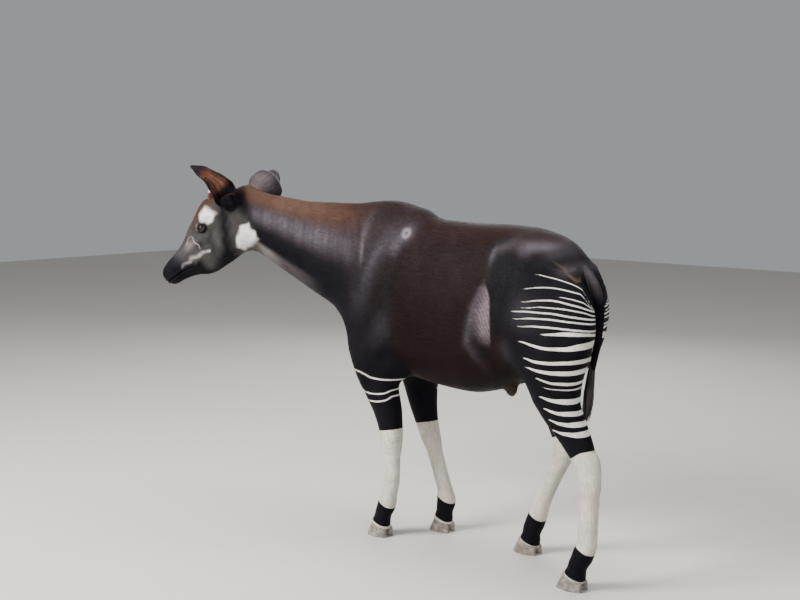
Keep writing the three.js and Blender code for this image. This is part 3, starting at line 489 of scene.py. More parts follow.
class Flesh:
    """The whole animal's form as one field of distances, in millimetres."""

    COAT_DEPTH = 1.5
    LEG_FILLET = 70.0
    NECK_FILLET = 110.0
    HEAD_FILLET = 60.0
    HOCK_FILLET = 26.0
    HEAD_BEFORE = -880.0
    TAIL_BEHIND = 430.0
    SLOPE_STEP = 0.6
    LONGEST_MOVE = 12.0

    def __init__(self) -> None:
        self.trunk = Rows(TRUNK)
        self.neck = Rows(NECK)
        self.head = Rows(HEAD)
        self.limbs = [Limb(name) for name in STANCE]
        start = np.array(NECK_START)
        self.neck_centre = start + NECK_ARC * np.array([math.sin(NECK_HEADING), -math.cos(NECK_HEADING)])
        self.ear_rows = Rows([(i / 3, radius) for i, radius in enumerate(EAR_FLESH)])
        self.tail = np.array(TAIL, float)
        self.tail_rows = Rows([(i / (len(TAIL) - 1), row[3]) for i, row in enumerate(TAIL)])

    def neck_place(self, p: Array) -> tuple[Array, Array]:
        """Distance along the neck's plan arc and distance to its left, for each point."""
        dx, dy = p[:, 0] - self.neck_centre[0], p[:, 1] - self.neck_centre[1]
        return (np.arctan2(-dx, dy) - NECK_HEADING) * NECK_ARC, NECK_ARC - np.hypot(dx, dy)

    def _trunk(self, p: Array) -> Array:
        """Distance to the trunk."""
        high, low, half = self.trunk.at(p[:, 0])
        return loft((p[:, 1], p[:, 2]), p[:, 0], self.trunk, (0, high, low, half), 2.25, -0.12)

    def _neck(self, p: Array) -> Array:
        """Distance to the neck."""
        along, side = self.neck_place(p)
        high, low, half = self.neck.at(along)
        return loft((side, p[:, 2]), along, self.neck, (0, high, low, half), 2.15, -0.1)

    def _head(self, p: Array) -> Array:
        """Distance to the head with its brows, cheeks, lips, ear roots and lids."""
        local = HEAD_FRAME.local(p)
        high, low, half = self.head.at(local[:, 0])
        d = loft((local[:, 2], local[:, 1]), local[:, 0], self.head, (0, high, low, half), 2.3, 0.3)
        for place, radii, fillet in FACE_SWELLINGS:
            for side in Side:
                d = blend(d, swelling(p, HEAD_FRAME.point(place, side.value), HEAD_FRAME.axes, radii), fillet)
        for pose in EARS:
            apart, t = polyline(p, pose.flesh())
            d = blend(d, apart - self.ear_rows.at(t)[0], 16)
        for side in Side:
            centre = EYE.centre(side)
            d = blend(d, np.linalg.norm(p - centre, axis=1) - EYE.radius - EYE.lid, 14)
        return d

    def _legs(self, p: Array) -> Array:
        """Distance to the four legs."""
        d = np.full(len(p), 1e4)
        for limb in self.limbs:
            d = np.minimum(d, limb.distance(p))
        for limb in self.limbs:
            if limb.hind:
                x, y = limb.centre(522)
                heel = np.array([x[0] + 40, y[0], 522])
                d = blend(d, swelling(p, heel, np.eye(3), (22, 17, 42)), self.HOCK_FILLET)
        return d

    def _tail(self, p: Array) -> Array:
        """Distance to the tail's flesh."""
        d, t = polyline(p, self.tail[:, :3])
        return d - self.tail_rows.at(t)[0]

    def distance(self, p: Array) -> Array:
        """Distance of each point to the skin, negative inside."""
        body = self._trunk(p)
        for place, radii, fillet in TRUNK_LUMPS:
            body = blend(body, swelling(p, np.array(place), np.eye(3), radii), fillet)
        body = blend(body, self._legs(p), self.LEG_FILLET)
        body = blend(body, self._neck(p), self.NECK_FILLET)
        near_head = p[:, 0] <= self.HEAD_BEFORE
        if near_head.any():
            q = p[near_head]
            d = blend(body[near_head], self._head(q), self.HEAD_FILLET)
            for side in Side:
                hole = swelling(q, EYE.open_centre(side), HEAD_FRAME.axes, EYE.opening)
                d = carve(d, hole, 2.5)
            body[near_head] = d
        near_tail = p[:, 0] > self.TAIL_BEHIND
        if near_tail.any():
            q = p[near_tail]
            fillet = 8 + 40 * smooth(q[:, 2], 1240, 1330)
            body[near_tail] = blend(body[near_tail], self._tail(q), fillet)
        return body + self.COAT_DEPTH

    def slope(self, p: Array) -> tuple[Array, Array]:
        """Distance and gradient of the field at each point."""
        step = self.SLOPE_STEP
        base = self.distance(p)
        grad = np.stack([self.distance(p + step * axis) - base for axis in np.eye(3)], axis=1) / step
        return base, grad

    def settle(self, p: Array, rounds: int = 3) -> tuple[Array, Array]:
        """Moves points onto the skin.

        Args:
            p: The points, near the skin.
            rounds: How many steps to take.

        Returns:
            The moved points and the skin's normals there.
        """
        for _ in range(rounds):
            d, grad = self.slope(p)
            size = np.maximum(np.sum(grad * grad, axis=1), 0.2)
            move = -d / size
            p = p + np.clip(move, -self.LONGEST_MOVE, self.LONGEST_MOVE)[:, None] * grad
        return p, unit(self.slope(p)[1])

    def reach(self, start: Array, way: Array, longest: float) -> Array:
        """The skin points met from inside along each way."""
        near = np.zeros(len(start))
        far = np.full(len(start), longest)
        for _ in range(16):
            middle = (near + far) / 2
            out = self.distance(start + way * middle[:, None]) > 0
            far = np.where(out, middle, far)
            near = np.where(out, near, middle)
        return start + way * far[:, None]


FLESH = Flesh()


def cad_shift() -> Array:
    """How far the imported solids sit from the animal's own frame, in metres."""
    low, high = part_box("eye_left")
    middle = (np.array(low) + np.array(high)) / 2
    return middle - EYE.centre(Side.LEFT) * MM


SHIFT = cad_shift()


def to_world(p: Array) -> Array:
    """Body millimetres to scene metres."""
    return np.asarray(p) * MM + SHIFT


def link(name: str, data: bpy.types.ID) -> Piece:
    """Makes an object of the data and puts it in the scene."""
    made = bpy.data.objects.new(name, data)
    bpy.context.scene.collection.objects.link(made)
    return made


def mesh_object(name: str, points: Array, faces: Array | list) -> Piece:
    """Makes a smooth-shaded mesh object that rides on the one body.

    Args:
        name: The piece's name.
        points: Its points, in scene metres.
        faces: Its faces, as an array of equal rows or a list of rows.

    Returns:
        The new object.
    """
    mesh = bpy.data.meshes.new(name)
    if isinstance(faces, np.ndarray):
        corners = faces.shape[1]
        mesh.vertices.add(len(points))
        mesh.vertices.foreach_set("co", np.asarray(points, np.float32).ravel())
        mesh.loops.add(faces.size)
        mesh.loops.foreach_set("vertex_index", faces.astype(np.int32).ravel())
        mesh.polygons.add(len(faces))
        mesh.polygons.foreach_set("loop_start", np.arange(0, faces.size, corners, dtype=np.int32))
        mesh.update(calc_edges=True)
        mesh.validate()
    else:
        mesh.from_pydata([tuple(p) for p in points], [], faces)
    mesh.polygons.foreach_set("use_smooth", np.ones(len(mesh.polygons), bool))
    piece = link(name, mesh)
    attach(piece, BODY)
    return piece


def points_of(piece: Piece) -> Array:
    """The piece's points, in scene metres."""
    out = np.zeros(len(piece.data.vertices) * 3)
    piece.data.vertices.foreach_get("co", out)
    return out.reshape(-1, 3)


def body_points(piece: Piece) -> Array:
    """The piece's points, in body millimetres."""
    return (points_of(piece) - SHIFT) / MM


def set_points(piece: Piece, points: Array) -> None:
    """Moves the piece's points."""
    piece.data.vertices.foreach_set("co", np.asarray(points, np.float32).ravel())
    piece.data.update()


def add_number(piece: Piece, name: str, values: Array) -> None:
    """Stores one number for each point, which materials can read."""
    data = piece.data.attributes.new(name, "FLOAT", "POINT").data
    data.foreach_set("value", np.asarray(values, np.float32))


def add_vector(piece: Piece, name: str, values: Array) -> None:
    """Stores one vector for each point, which materials can read."""
    data = piece.data.attributes.new(name, "FLOAT_VECTOR", "POINT").data
    data.foreach_set("vector", np.asarray(values, np.float32).ravel())


def add_colour(piece: Piece, name: str, values: Array) -> None:
    """Stores one colour for each point, which materials can read."""
    rgba = np.concatenate([values, np.ones((len(values), 1))], axis=1)
    data = piece.data.attributes.new(name, "FLOAT_COLOR", "POINT").data
    data.foreach_set("color", rgba.astype(np.float32).ravel())


def plain_dress(piece: Piece, hide: Array, pale: Array, way: Array) -> None:
    """Stores the colours of a piece without marks, and the one way its hair lies."""
    count = len(hide)
    add_colour(piece, "hide", hide)
    add_colour(piece, "pale", pale)
    add_number(piece, "edge", np.full(count, -EDGE_LIMIT))
    add_vector(piece, "lie", spread(way, count))


def turn_outward(piece: Piece) -> None:
    """Turns the faces of a closed piece outward."""
    work = bmesh.new()
    work.from_mesh(piece.data)
    bmesh.ops.recalc_face_normals(work, faces=work.faces)
    work.to_mesh(piece.data)
    work.free()


def ring_faces(rings: int, around: int) -> list:
    """Quads between rings of points that lie one after another."""
    faces = []
    for start in range(0, (rings - 1) * around, around):
        for j in range(around):
            k = (j + 1) % around
            faces.append((start + j, start + k, start + around + k, start + around + j))
    return faces


def capped_faces(rings: int, around: int) -> list:
    """Quads between rings, and one flat face over each end."""
    top = (rings - 1) * around
    ends = [tuple(range(around - 1, -1, -1)), tuple(range(top, top + around))]
    return ring_faces(rings, around) + ends


CORNERS = [(i, j, k) for i in (0, 1) for j in (0, 1) for k in (0, 1)]


class FieldMesher:
    """Turns a field of distances into an even mesh of quads."""

    BLOCK = 4

    def __init__(self, distance: Callable[[Array], Array], low: Array, high: Array, step: float) -> None:
        self.distance = distance
        self.step = step
        self.low = np.asarray(low, float)
        self.blocks = np.ceil((np.asarray(high) - self.low) / (step * self.BLOCK)).astype(int)

    def _nodes(self, index: Array, step: float) -> Array:
        """Places of grid nodes."""
        return self.low + index * step

    def values(self) -> Array:
        """The field on the fine grid, exact only near the skin."""
        b = self.BLOCK
        coarse_shape = self.blocks + 1
        coarse_index = np.indices(coarse_shape).reshape(3, -1).T
        coarse = self.distance(self._nodes(coarse_index, self.step * b)).reshape(coarse_shape)
        near = np.abs(coarse) < self.step * b * 2.4
        block_near = np.zeros(self.blocks, bool)
        for corner in CORNERS:
            end = [n if o else -1 for o, n in zip(corner, coarse_shape)]
            block_near |= near[tuple(slice(o, e) for o, e in zip(corner, end))]
        fine_block = block_near.repeat(b, 0).repeat(b, 1).repeat(b, 2)
        fill = coarse[:-1, :-1, :-1].repeat(b, 0).repeat(b, 1).repeat(b, 2)
        shape = np.array(fine_block.shape) + 1
        field_values = np.full(shape, 1e3)
        field_values[:-1, :-1, :-1] = fill
        mask = np.zeros(shape, bool)
        for corner in CORNERS:
            mask[tuple(slice(o, o + n) for o, n in zip(corner, fine_block.shape))] |= fine_block
        index = np.argwhere(mask)
        parts = np.array_split(index, 8)
        field_values[mask] = np.concatenate([self.distance(self._nodes(q, self.step)) for q in parts])
        return field_values

    def mesh(self) -> tuple[Array, Array]:
        """Points and quads of the skin."""
        f = self.values()
        inside = f < 0
        cells = np.array(f.shape) - 1
        count = np.zeros(cells, int)
        for i, j, k in CORNERS:
            count += inside[i : i + cells[0], j : j + cells[1], k : k + cells[2]]
        active = (count > 0) & (count < 8)
        number = np.full(cells, -1)
        number[active] = np.arange(active.sum())
        cell = np.argwhere(active)
        total = np.zeros((len(cell), 3))
        crossings = np.zeros(len(cell))
        for a in CORNERS:
            for axis in range(3):
                if a[axis]:
                    continue
                first, second = np.array(a), np.array(a)
                second[axis] = 1
                fa = f[tuple((cell + first).T)]
                fb = f[tuple((cell + second).T)]
                cross = (fa < 0) != (fb < 0)
                t = np.where(cross, fa / np.where(cross, fa - fb, 1), 0)
                place = cell + first + t[:, None] * (second - first)
                total += np.where(cross[:, None], place, 0)
                crossings += cross
        points = self.low + total / crossings[:, None] * self.step
        quads = []
        for axis in range(3):
            u, v = (axis + 1) % 3, (axis + 2) % 3
            ahead = np.roll(inside, -1, axis)
            change = inside != ahead
            node = np.argwhere(change)
            fits = (node[:, axis] < cells[axis]) & (node[:, u] > 0) & (node[:, v] > 0)
            fits &= (node[:, u] < cells[u]) & (node[:, v] < cells[v])
            node = node[fits]
            eu, ev = np.eye(3, dtype=int)[u], np.eye(3, dtype=int)[v]
            ring = [number[tuple((node - s).T)] for s in (0 * eu, eu, eu + ev, ev)]
            quad = np.stack(ring, axis=1)
            outward = inside[tuple(node.T)]
            quads.append(np.where(outward[:, None], quad, quad[:, ::-1]))
        return points, np.concatenate(quads)


@dataclass(frozen=True)
class Refinement:
    """A region whose faces are halved: a test on the points and a name."""

    name: str
    wanted: Callable[[Array], Array]


def near_head(p: Array) -> Array:
    """Whether each point is on the head or by the ears."""
    local = HEAD_FRAME.local(p)
    return (local[:, 0] > -40) & (local[:, 0] < 600) & (np.abs(local[:, 2]) < 140) & (local[:, 1] > -240)


def near_face_detail(p: Array) -> Array:
    """Whether each point is close to an eye, a nostril or the mouth."""
    near = np.zeros(len(p), bool)
    for side in Side:
        near |= np.linalg.norm(p - EYE.centre(side), axis=1) < 46
    local = HEAD_FRAME.local(p)
    return near | ((local[:, 0] > 405) & (np.abs(local[:, 2]) < 80))


def near_marks(p: Array) -> Array:
    """Whether each point is among the stripes and rings of the legs and rump."""
    rump = (p[:, 0] > 340) & (p[:, 2] < 1300) & (p[:, 2] > 540)
    rings = (p[:, 0] < -200) & (p[:, 0] > -560) & (p[:, 2] < 800) & (p[:, 2] > 540)
    bands = (p[:, 2] < 210) & (p[:, 2] > 30)
    return rump | rings | bands


REFINEMENTS = (
    Refinement("marks", near_marks),
    Refinement("head", near_head),
    Refinement("face", near_face_detail),
)


@dataclass(frozen=True)
class Tones:
    """Colours of the coat, in linear light."""

    chocolate: tuple = (0.0098, 0.0053, 0.0051)
    russet: tuple = (0.052, 0.024, 0.0175)
    copper: tuple = (0.09, 0.052, 0.037)
    plum: tuple = (0.021, 0.014, 0.0155)
    # lilac: the tone of the painted sheen highlights
    lilac: tuple = (0.12, 0.108, 0.13)
    slate: tuple = (0.0055, 0.0055, 0.008)
    cream: tuple = (0.74, 0.71, 0.65)
    # stocking: the legs' white, dimmed as painted shade
    stocking: tuple = (0.6, 0.56, 0.48)
    chalk: tuple = (0.86, 0.85, 0.82)
    cheek: tuple = (0.055, 0.051, 0.05)
    muzzle: tuple = (0.005, 0.005, 0.0075)
    brow: tuple = (0.075, 0.04, 0.023)
    throat: tuple = (0.13, 0.115, 0.1)
    fawn: tuple = (0.2, 0.16, 0.18)
    gold: tuple = (0.12, 0.075, 0.045)
    nub: tuple = (0.075, 0.055, 0.04)


TONES = Tones()


def tint(base: Array, tone: Sequence[float], weight: Array) -> Array:
    """Moves colours towards a tone by a weight for each."""
    w = np.clip(weight, 0, 1)[:, None]
    return base * (1 - w) + np.array(tone) * w


@dataclass(frozen=True)
class Stripe:
    """One pale stripe: rows of degrees round the rump or leg, height and half thickness."""

    rows: tuple

    def edge(self, angle: Array, height: Array) -> Array:
        """Distance inside the stripe, negative outside it."""
        first, last = self.rows[0], self.rows[-1]
        track = Rows(((first[0] - 6, first[1], -6), *self.rows, (last[0] + 8, last[1], -6)))
        middle, half = track.at(angle)
        return half - np.abs(height - middle)


RUMP_CENTRE_X = 500.0
RUMP_STRIPES = (
    Stripe(((-8, 1268, 0.9), (5, 1262, 1.6), (21, 1252, 1.9), (49, 1218, 2.0), (62, 1137, 1.8))),
    Stripe(((-20, 1209, 0.9), (-5, 1217, 1.9), (10, 1220, 2.3), (46, 1200, 2.4), (62, 1128, 2.2))),
    Stripe(((24, 1186, 0.6), (32, 1183, 1.7), (48, 1168, 2.2), (57, 1148, 1.4))),
    Stripe(((-18, 1158, 0.9), (0, 1168, 2.4), (16, 1171, 3.0), (40, 1156, 3.3), (66, 1128, 2.5))),
    Stripe(((-17, 1134, 0.7), (5, 1143, 1.9), (26, 1142, 2.4), (45, 1132, 2.7), (64, 1112, 2.2))),
    Stripe(((-28, 1116, 1.1), (-10, 1121, 2.9), (16, 1121, 3.3), (38, 1112, 3.6), (68, 1098, 2.9))),
    Stripe(((-26, 1087, 0.7), (-5, 1096, 2.6), (16, 1098, 3.2), (36, 1093, 3.3), (66, 1082, 2.9))),
    Stripe(((-20, 1059, 0.9), (0, 1066, 2.9), (17, 1067, 3.6), (38, 1063, 3.6), (66, 1054, 3.2))),
    Stripe(((8, 1038, 1), (20, 1041, 5), (34, 1046, 8), (50, 1044, 6), (68, 1036, 5))),
    Stripe(((-19, 998, 1.6), (0, 988, 5), (15, 983, 6), (30, 985, 8), (45, 996, 13), (70, 1006, 14))),
    Stripe(((-14, 932, 1.4), (2, 925, 5.5), (16, 925, 6.5), (32, 930, 7), (50, 938, 9), (74, 944, 9))),
    Stripe(((-12, 896, 1), (4, 889, 5.5), (20, 886, 8), (34, 888, 9), (52, 896, 11), (78, 902, 12))),
)
THIGH_STRIPES = (
    Stripe(((-16, 858, 1.2), (10, 850, 4), (34, 844, 5), (60, 844, 6), (110, 852, 5), (140, 856, 1))),
    Stripe(((0, 824, 0.8), (24, 820, 1.6), (60, 820, 2.4), (110, 828, 3), (140, 832, 1))),
    Stripe(((-20, 782, 1.4), (8, 775, 6), (32, 772, 8), (60, 772, 11), (115, 780, 10), (150, 784, 1))),
    Stripe(((-24, 734, 1.4), (0, 727, 6), (30, 722, 7), (60, 724, 9), (120, 730, 8), (150, 734, 1))),
    Stripe(((-34, 690, 1.4), (0, 682, 6), (40, 680, 8), (70, 684, 10), (125, 690, 8), (150, 694, 1))),
    Stripe(((-50, 648, 1.4), (-10, 642, 6), (40, 642, 9), (80, 648, 11), (130, 654, 8), (155, 656, 1))),
)
FOREARM_RINGS = (
    Stripe(((-150, 764, 1), (-90, 768, 3.5), (-30, 766, 4), (30, 744, 4), (80, 738, 3.5), (130, 740, 1))),
    Stripe(((-160, 676, 1.5), (-90, 680, 2.8), (0, 672, 3), (45, 676, 3), (80, 690, 3), (150, 694, 1.5))),
    Stripe(((-170, 630, 1.5), (-90, 634, 2.8), (0, 637, 3), (45, 646, 3.2), (80, 664, 3.5), (160, 664, 1.5))),
)
STOCKING_TOP = {False: 505.0, True: 560.0}
PASTERN_BAND = {False: (14.0, 156.0), True: (8.0, 174.0)}  # clear of the hair line, and top height


def fenced(p: Array, corners: Sequence[tuple[float, float]]) -> Array:
    """Distance inside an outline drawn through corners, negative outside it.

    Args:
        p: Points in two coordinates.
        corners: The outline's corners, in order.

    Returns:
        The signed distances.
    """
    ring = np.array([*corners, corners[0]], float)
    d, _ = polyline(p, ring)
    inside = np.zeros(len(p), bool)
    for a, b in zip(ring[:-1], ring[1:]):
        crosses = (a[1] > p[:, 1]) != (b[1] > p[:, 1])
        x = a[0] + (p[:, 1] - a[1]) / np.where(crosses, b[1] - a[1], 1) * (b[0] - a[0])
        inside ^= crosses & (p[:, 0] < x)
    return np.where(inside, d, -d)


@dataclass
class Paint:
    """What the coat shows at each point: its hide colour, its pale colour and the pale marks' edge."""

    hide: Array
    pale: Array
    edge: Array

    def dye(self, tone: Sequence[float], weight: Array) -> None:
        """Moves the hide's colour towards a tone by a weight for each point."""
        self.hide = tint(self.hide, tone, weight)

    def mark(self, edge: Array, tone: Sequence[float]) -> None:
        """Adds a pale mark: where it reaches further in than the marks so far, its tone is used."""
        stronger = edge > self.edge
        self.pale = np.where(stronger[:, None], np.array(tone), self.pale)
        self.edge = np.where(stronger, edge, self.edge)


# Outlines of the face's pale patches, as along and up in the head
TEMPLE = ((122, 2), (128, 40), (143, 62), (170, 66), (197, 52), (205, 22), (192, -6), (160, -2))
THROAT = (
    (54, -134), (84, -124), (112, -128), (150, -152), (176, -176), (160, -200), (118, -224), (70, -232),
)


class Markings:
    """The coat's colours and marks, with painted sheen and shade, worked out for any point of the skin."""

    FAR = -30.0

    def paint(self, p: Array, normal: Array) -> Paint:
        """Works out the coat at each point.

        Args:
            p: The points, in body millimetres.
            normal: The skin's normals there.

        Returns:
            The paint.
        """
        count = len(p)
        hide = spread(TONES.chocolate, count)
        paint = Paint(hide, spread(TONES.cream, count), np.full(count, self.FAR))
        self._trunk(p, normal, paint)
        self._neck(p, paint)
        self._rump(p, paint)
        for limb in FLESH.limbs:
            self._leg(limb, p, paint)
        on_head = self.on_head(p)
        self._head(p, normal, paint, on_head)
        return paint

    def on_head(self, p: Array) -> Array:
        """How much each point belongs to the head rather than the neck."""
        local = HEAD_FRAME.local(p)
        return smooth(local[:, 0] * 0.86 + local[:, 1] * 0.5, -60, -20) * (p[:, 0] < -860)

    def _trunk(self, p: Array, normal: Array, paint: Paint) -> None:
        """Back, shoulders, flanks and belly, with painted sheen and shade."""
        x, z = p[:, 0], p[:, 2]
        flat = p[:, [0, 2]]
        topline = smooth(normal[:, 2], 0.3, 0.95) * smooth(z, 1200, 1400)
        paint.dye(TONES.russet, topline * 0.22)
        # Painted lilac sheen on the shoulder.
        shoulder = bell(x, -470, 150) * bell(z, 1350, 130)
        paint.dye(TONES.lilac, shoulder * 0.2)
        shade = smooth(x, -330, -430) * smooth(z, 1400, 1250)
        paint.dye(TONES.slate, shade * 0.6)
        # Painted lilac sheen on the upper arm.
        upper_arm_sheen = bell(x, -500, 70) * bell(z, 1090, 80)
        paint.dye(TONES.lilac, upper_arm_sheen * 0.25)
        paint.dye(TONES.plum, smooth(z, 1000, 1300) * smooth(x, 300, 0) * 0.3)
        # Painted light along each stroke's ridge and painted shade in its groove.
        for stroke in STROKES:
            d, t = polyline(flat, stroke.route)
            reach = bell(d, 0, stroke.width) * np.sin(np.pi * np.clip(t, 0.05, 0.95))
            tone = TONES.lilac if stroke.height > 0 else TONES.slate
            paint.dye(tone, reach * (0.28 if stroke.height > 0 else 0.5))
        # Painted sheen highlights at the places in SHEENS.
        for place, size, weight in SHEENS:
            reach = bell(x, place[0], size[0]) * bell(z, place[1], size[1])
            paint.dye(TONES.lilac, reach * weight)
        hollow = smooth(fenced(flat, HOLLOW), -26, 26)
        paint.dye(TONES.slate, hollow * 0.9)
        edge = np.interp(z, (960, 1021, 1100, 1152, 1203, 1225), (276, 277, 272, 266, 246, 234))
        back = np.interp(z, (940, 1000, 1100, 1203, 1225), (205, 180, 172, 206, 222))
        fold = smooth(edge - x, -2, 6) * smooth(x, back - 10, back + 62)
        fold *= smooth(z, 940, 1040) * smooth(z, 1245, 1190) * (np.abs(p[:, 1]) > 140)
        streaks = 0.8 + 0.2 * np.sin(0.34 * x + 0.19 * z + 1.4 * np.sin(0.05 * z))
        paint.dye(TONES.fawn, fold * streaks * 0.75)
        nub = bell(x, 236, 46) * bell(p[:, 1], 0, 46) * smooth(z, 790, 750)
        paint.dye(TONES.nub, nub)
        chest = smooth(z, 1130, 900) * smooth(x, -200, -420)
        chest = np.maximum(chest, smooth(x, -520, -640) * smooth(z, 1300, 1150))
        paint.dye(TONES.slate, chest * 0.85)
        d = np.hypot(x + 250, z - 1398)
        left = p[:, 1] < 0
        paint.dye(TONES.lilac, bell(d, 0, 36) * left * 0.6)
        trail = bell(x, -290, 30) * bell(z, 1345, 40)
        paint.dye(TONES.lilac, trail * left * 0.4)
        paint.dye((0.3, 0.28, 0.32), bell(d, 15, 8) * left * 0.5)

    def _neck(self, p: Array, paint: Paint) -> None:
        """Red-brown crest, painted lilac sheen mid-way, painted blue-black shade below, pale strip under the
        throat.
        """
        along, _ = FLESH.neck_place(p)
        high, low, _ = FLESH.neck.at(along)
        on = smooth(along, 40, 260)
        far = smooth(along, 160, 480)
        share = (p[:, 2] - low) / (high - low)
        paint.dye(TONES.plum, on * 0.8)
        # Painted lilac sheen along the neck's middle, lighter over the creases.
        crease_sheen = 0.5 + 0.28 * np.sin(0.105 * along + 2.4 * np.sin(0.017 * along))
        crease_sheen = crease_sheen + 0.22 * np.sin(0.23 * along + 0.02 * p[:, 2])
        middle = bell(share, 0.66, 0.17) * (0.6 + 0.4 * crease_sheen)
        paint.dye(TONES.lilac, on * middle * (0.3 + 0.38 * far))
        paint.dye(TONES.russet, on * smooth(share, 0.66, 0.9) * 0.85)
        paint.dye(TONES.copper, far * smooth(share, 0.7, 0.95) * 0.75)
        # Painted blue-black shade on the lower neck.
        paint.dye(TONES.slate, on * smooth(share, 0.62, 0.38) * 0.95)
        glint = bell(along, 120, 10) * bell(share, 0.66, 0.1)
        paint.dye((0.16, 0.14, 0.135), glint * 0.4)
        under = smooth(share, 0.25, 0.15) * smooth(along, 330, 500)
        paint.dye((0.062, 0.053, 0.058), under * 0.9)
        paint.dye((0.22, 0.2, 0.19), under * smooth(along, 540, 640) * 0.8)

    def _rump(self, p: Array, paint: Paint) -> None:
        """Blue-black rump and its pale stripes, with painted sheen on the rump and the tail's root."""
        left_x, _ = FLESH.limbs[2].route.at(p[:, 2])
        own_x, _ = FLESH.limbs[3].route.at(p[:, 2])
        x = np.where(p[:, 1] > 0, p[:, 0] + (left_x - own_x), p[:, 0])
        angle = np.degrees(np.arctan2(x - RUMP_CENTRE_X, np.abs(p[:, 1])))
        dark = smooth(x, 300, 400) * smooth(p[:, 2], 1375, 1300)
        paint.dye(TONES.slate, dark * 0.92)
        # Painted lilac sheen on the rump.
        rump_sheen = bell(x, 440, 70) * bell(p[:, 2], 1110, 70)
        paint.dye(TONES.lilac, rump_sheen * 0.2)
        on = (x > 330) & (p[:, 2] > 862) & ~self.on_tail(p)
        for stripe in RUMP_STRIPES:
            edge = np.where(on, stripe.edge(angle, p[:, 2]), self.FAR)
            paint.mark(edge, TONES.cream)
        d, t = polyline(np.stack([x, p[:, 2]], 1), np.array([(500, 1326), (560, 1293), (622, 1243)]))
        line = bell(d, 0, 2.6) * smooth(t, -0.05, 0.5) * smooth(np.abs(p[:, 1]), 56, 76)
        paint.dye(TONES.gold, line * 0.7)
        # Painted lilac-grey sheen where the tail leaves the rump and down its root.
        cleft = bell(x, 590, 40) * bell(p[:, 2], 1292, 26)
        paint.dye((0.1, 0.08, 0.09), cleft * 0.6)
        root = self.on_tail(p) * smooth(p[:, 2], 1130, 1240)
        paint.dye((0.1, 0.085, 0.092), root * 0.75)

    def on_tail(self, p: Array) -> Array:
        """Whether each point is on the tail's flesh."""
        d, t = polyline(p, FLESH.tail[:, :3])
        return (d < FLESH.tail_rows.at(t)[0] + 2.5) & (p[:, 2] < 1300 - 0.9 * (p[:, 0] - 590))

    def _leg(self, limb: Limb, p: Array, paint: Paint) -> None:
        """Blue-black upper leg with its rings or stripes, pale stocking dimmed as painted shade, and dark
        pastern.
        """
        near = (p[:, 2] < 880) & (np.abs(p[:, 1] - 130 * limb.side.hand) < 118)
        x, across = limb.centre(p[:, 2])
        near &= np.abs(p[:, 0] - x) < 190
        angle = limb.angle(p)
        z = p[:, 2]
        paint.dye(TONES.slate, near * smooth(z, 900, 820) * 0.92)
        for stripe in THIGH_STRIPES if limb.hind else FOREARM_RINGS:
            edge = np.where(near, stripe.edge(angle, z), self.FAR)
            if not limb.hind and limb.side is Side.RIGHT:
                edge = np.minimum(edge, (p[:, 1] - across - 18) * 0.25)
            paint.mark(edge, TONES.cream)
        rear = np.sin(np.radians(angle))
        top = STOCKING_TOP[limb.hind] + (22 if limb.hind else 10) * rear
        stocking = np.where(near, top - z, self.FAR)
        clear, band_high = PASTERN_BAND[limb.hind]
        plane, at = limb.coronet()
        band = np.minimum((at - p) @ plane - clear, band_high - 17 * rear - z)
        edge = np.minimum(stocking, -band)
        if not limb.hind:
            front = np.abs(((angle + 90 + 180) % 360) - 180)
            strip = np.minimum((34 - front) * 0.65, np.minimum(z - 150, 560 - z))
            edge = np.minimum(edge, -strip)
        # The stockings' white, in a tone dimmed as painted shade.
        paint.mark(np.where(near, edge, self.FAR), TONES.stocking)

    def _head(self, p: Array, normal: Array, paint: Paint, on: Array) -> None:
        """Red brow, grey cheeks, black muzzle, the pale marks of the face and throat, and painted light and
        shade.
        """
        local = HEAD_FRAME.local(p)
        s, v, side = local[:, 0], local[:, 1], np.abs(local[:, 2])
        face = tint(spread(TONES.cheek, len(p)), TONES.slate, smooth(s, 60, 10) * 0.8)
        up = normal @ HEAD_FRAME.up
        flat = local[:, :2] + 4.5 * np.sin(local[:, [1, 0]] * (0.13, 0.11) + (0.4, 1.9))
        cheek_light = bell(s, 215, 40) * bell(v, -60, 50)
        face = tint(face, (0.12, 0.112, 0.1), cheek_light * 0.5)
        face = tint(face, TONES.throat, smooth(v, -165, -205) * smooth(s, 260, 150) * 0.6)
        jaw_shade = smooth(v + 0.28 * s, -45, -105) * smooth(s, 140, 250)
        face = tint(face, TONES.slate, jaw_shade * 0.95)
        d, _ = polyline(flat, np.array([(70, 20), (110, -30), (160, -85), (215, -150), (245, -200)]))
        face = tint(face, TONES.slate, bell(d, 0, 24) * 0.9)
        d, _ = polyline(flat, np.array([(205, -30), (240, -60), (262, -110)]))
        face = tint(face, TONES.slate, bell(d, 0, 16) * 0.45)
        brow = smooth(up, 0.15, 0.75) * smooth(s, 330, 190)
        brow = np.maximum(brow, smooth(v, 38, 62) * smooth(s, 290, 205))
        face = tint(face, TONES.brow, brow * 0.9)
        face = tint(face, TONES.slate, smooth(s, 95, 40) * smooth(v, -60, 0) * 0.6)
        crown = smooth(up, 0.3, 0.8) * smooth(s, 60, 10)
        face = tint(face, TONES.russet, crown * 0.8)
        bridge = smooth(up, 0.1, 0.7) * smooth(s, 260, 350)
        face = tint(face, (0.05, 0.043, 0.046), bridge * 0.8)
        d, t = polyline(flat, np.array([(282, -90), (305, -82), (345, -66), (392, -55), (440, -50)]))
        wide = 5 + 12 * np.sin(np.pi * np.clip(t * 0.8 + 0.1, 0, 1))
        stripe = smooth(d, wide, wide * 0.1) * (0.95 - 0.7 * np.clip(t, 0, 1))
        face = tint(face, (0.22, 0.19, 0.18), bell(s, 335, 34) * bell(v, -8, 16) * 0.6)
        dark = smooth(s - 0.42 * v, 396, 436)
        lower = smooth(s + 0.3 * v, 296, 336) * smooth(v, -76, -98)
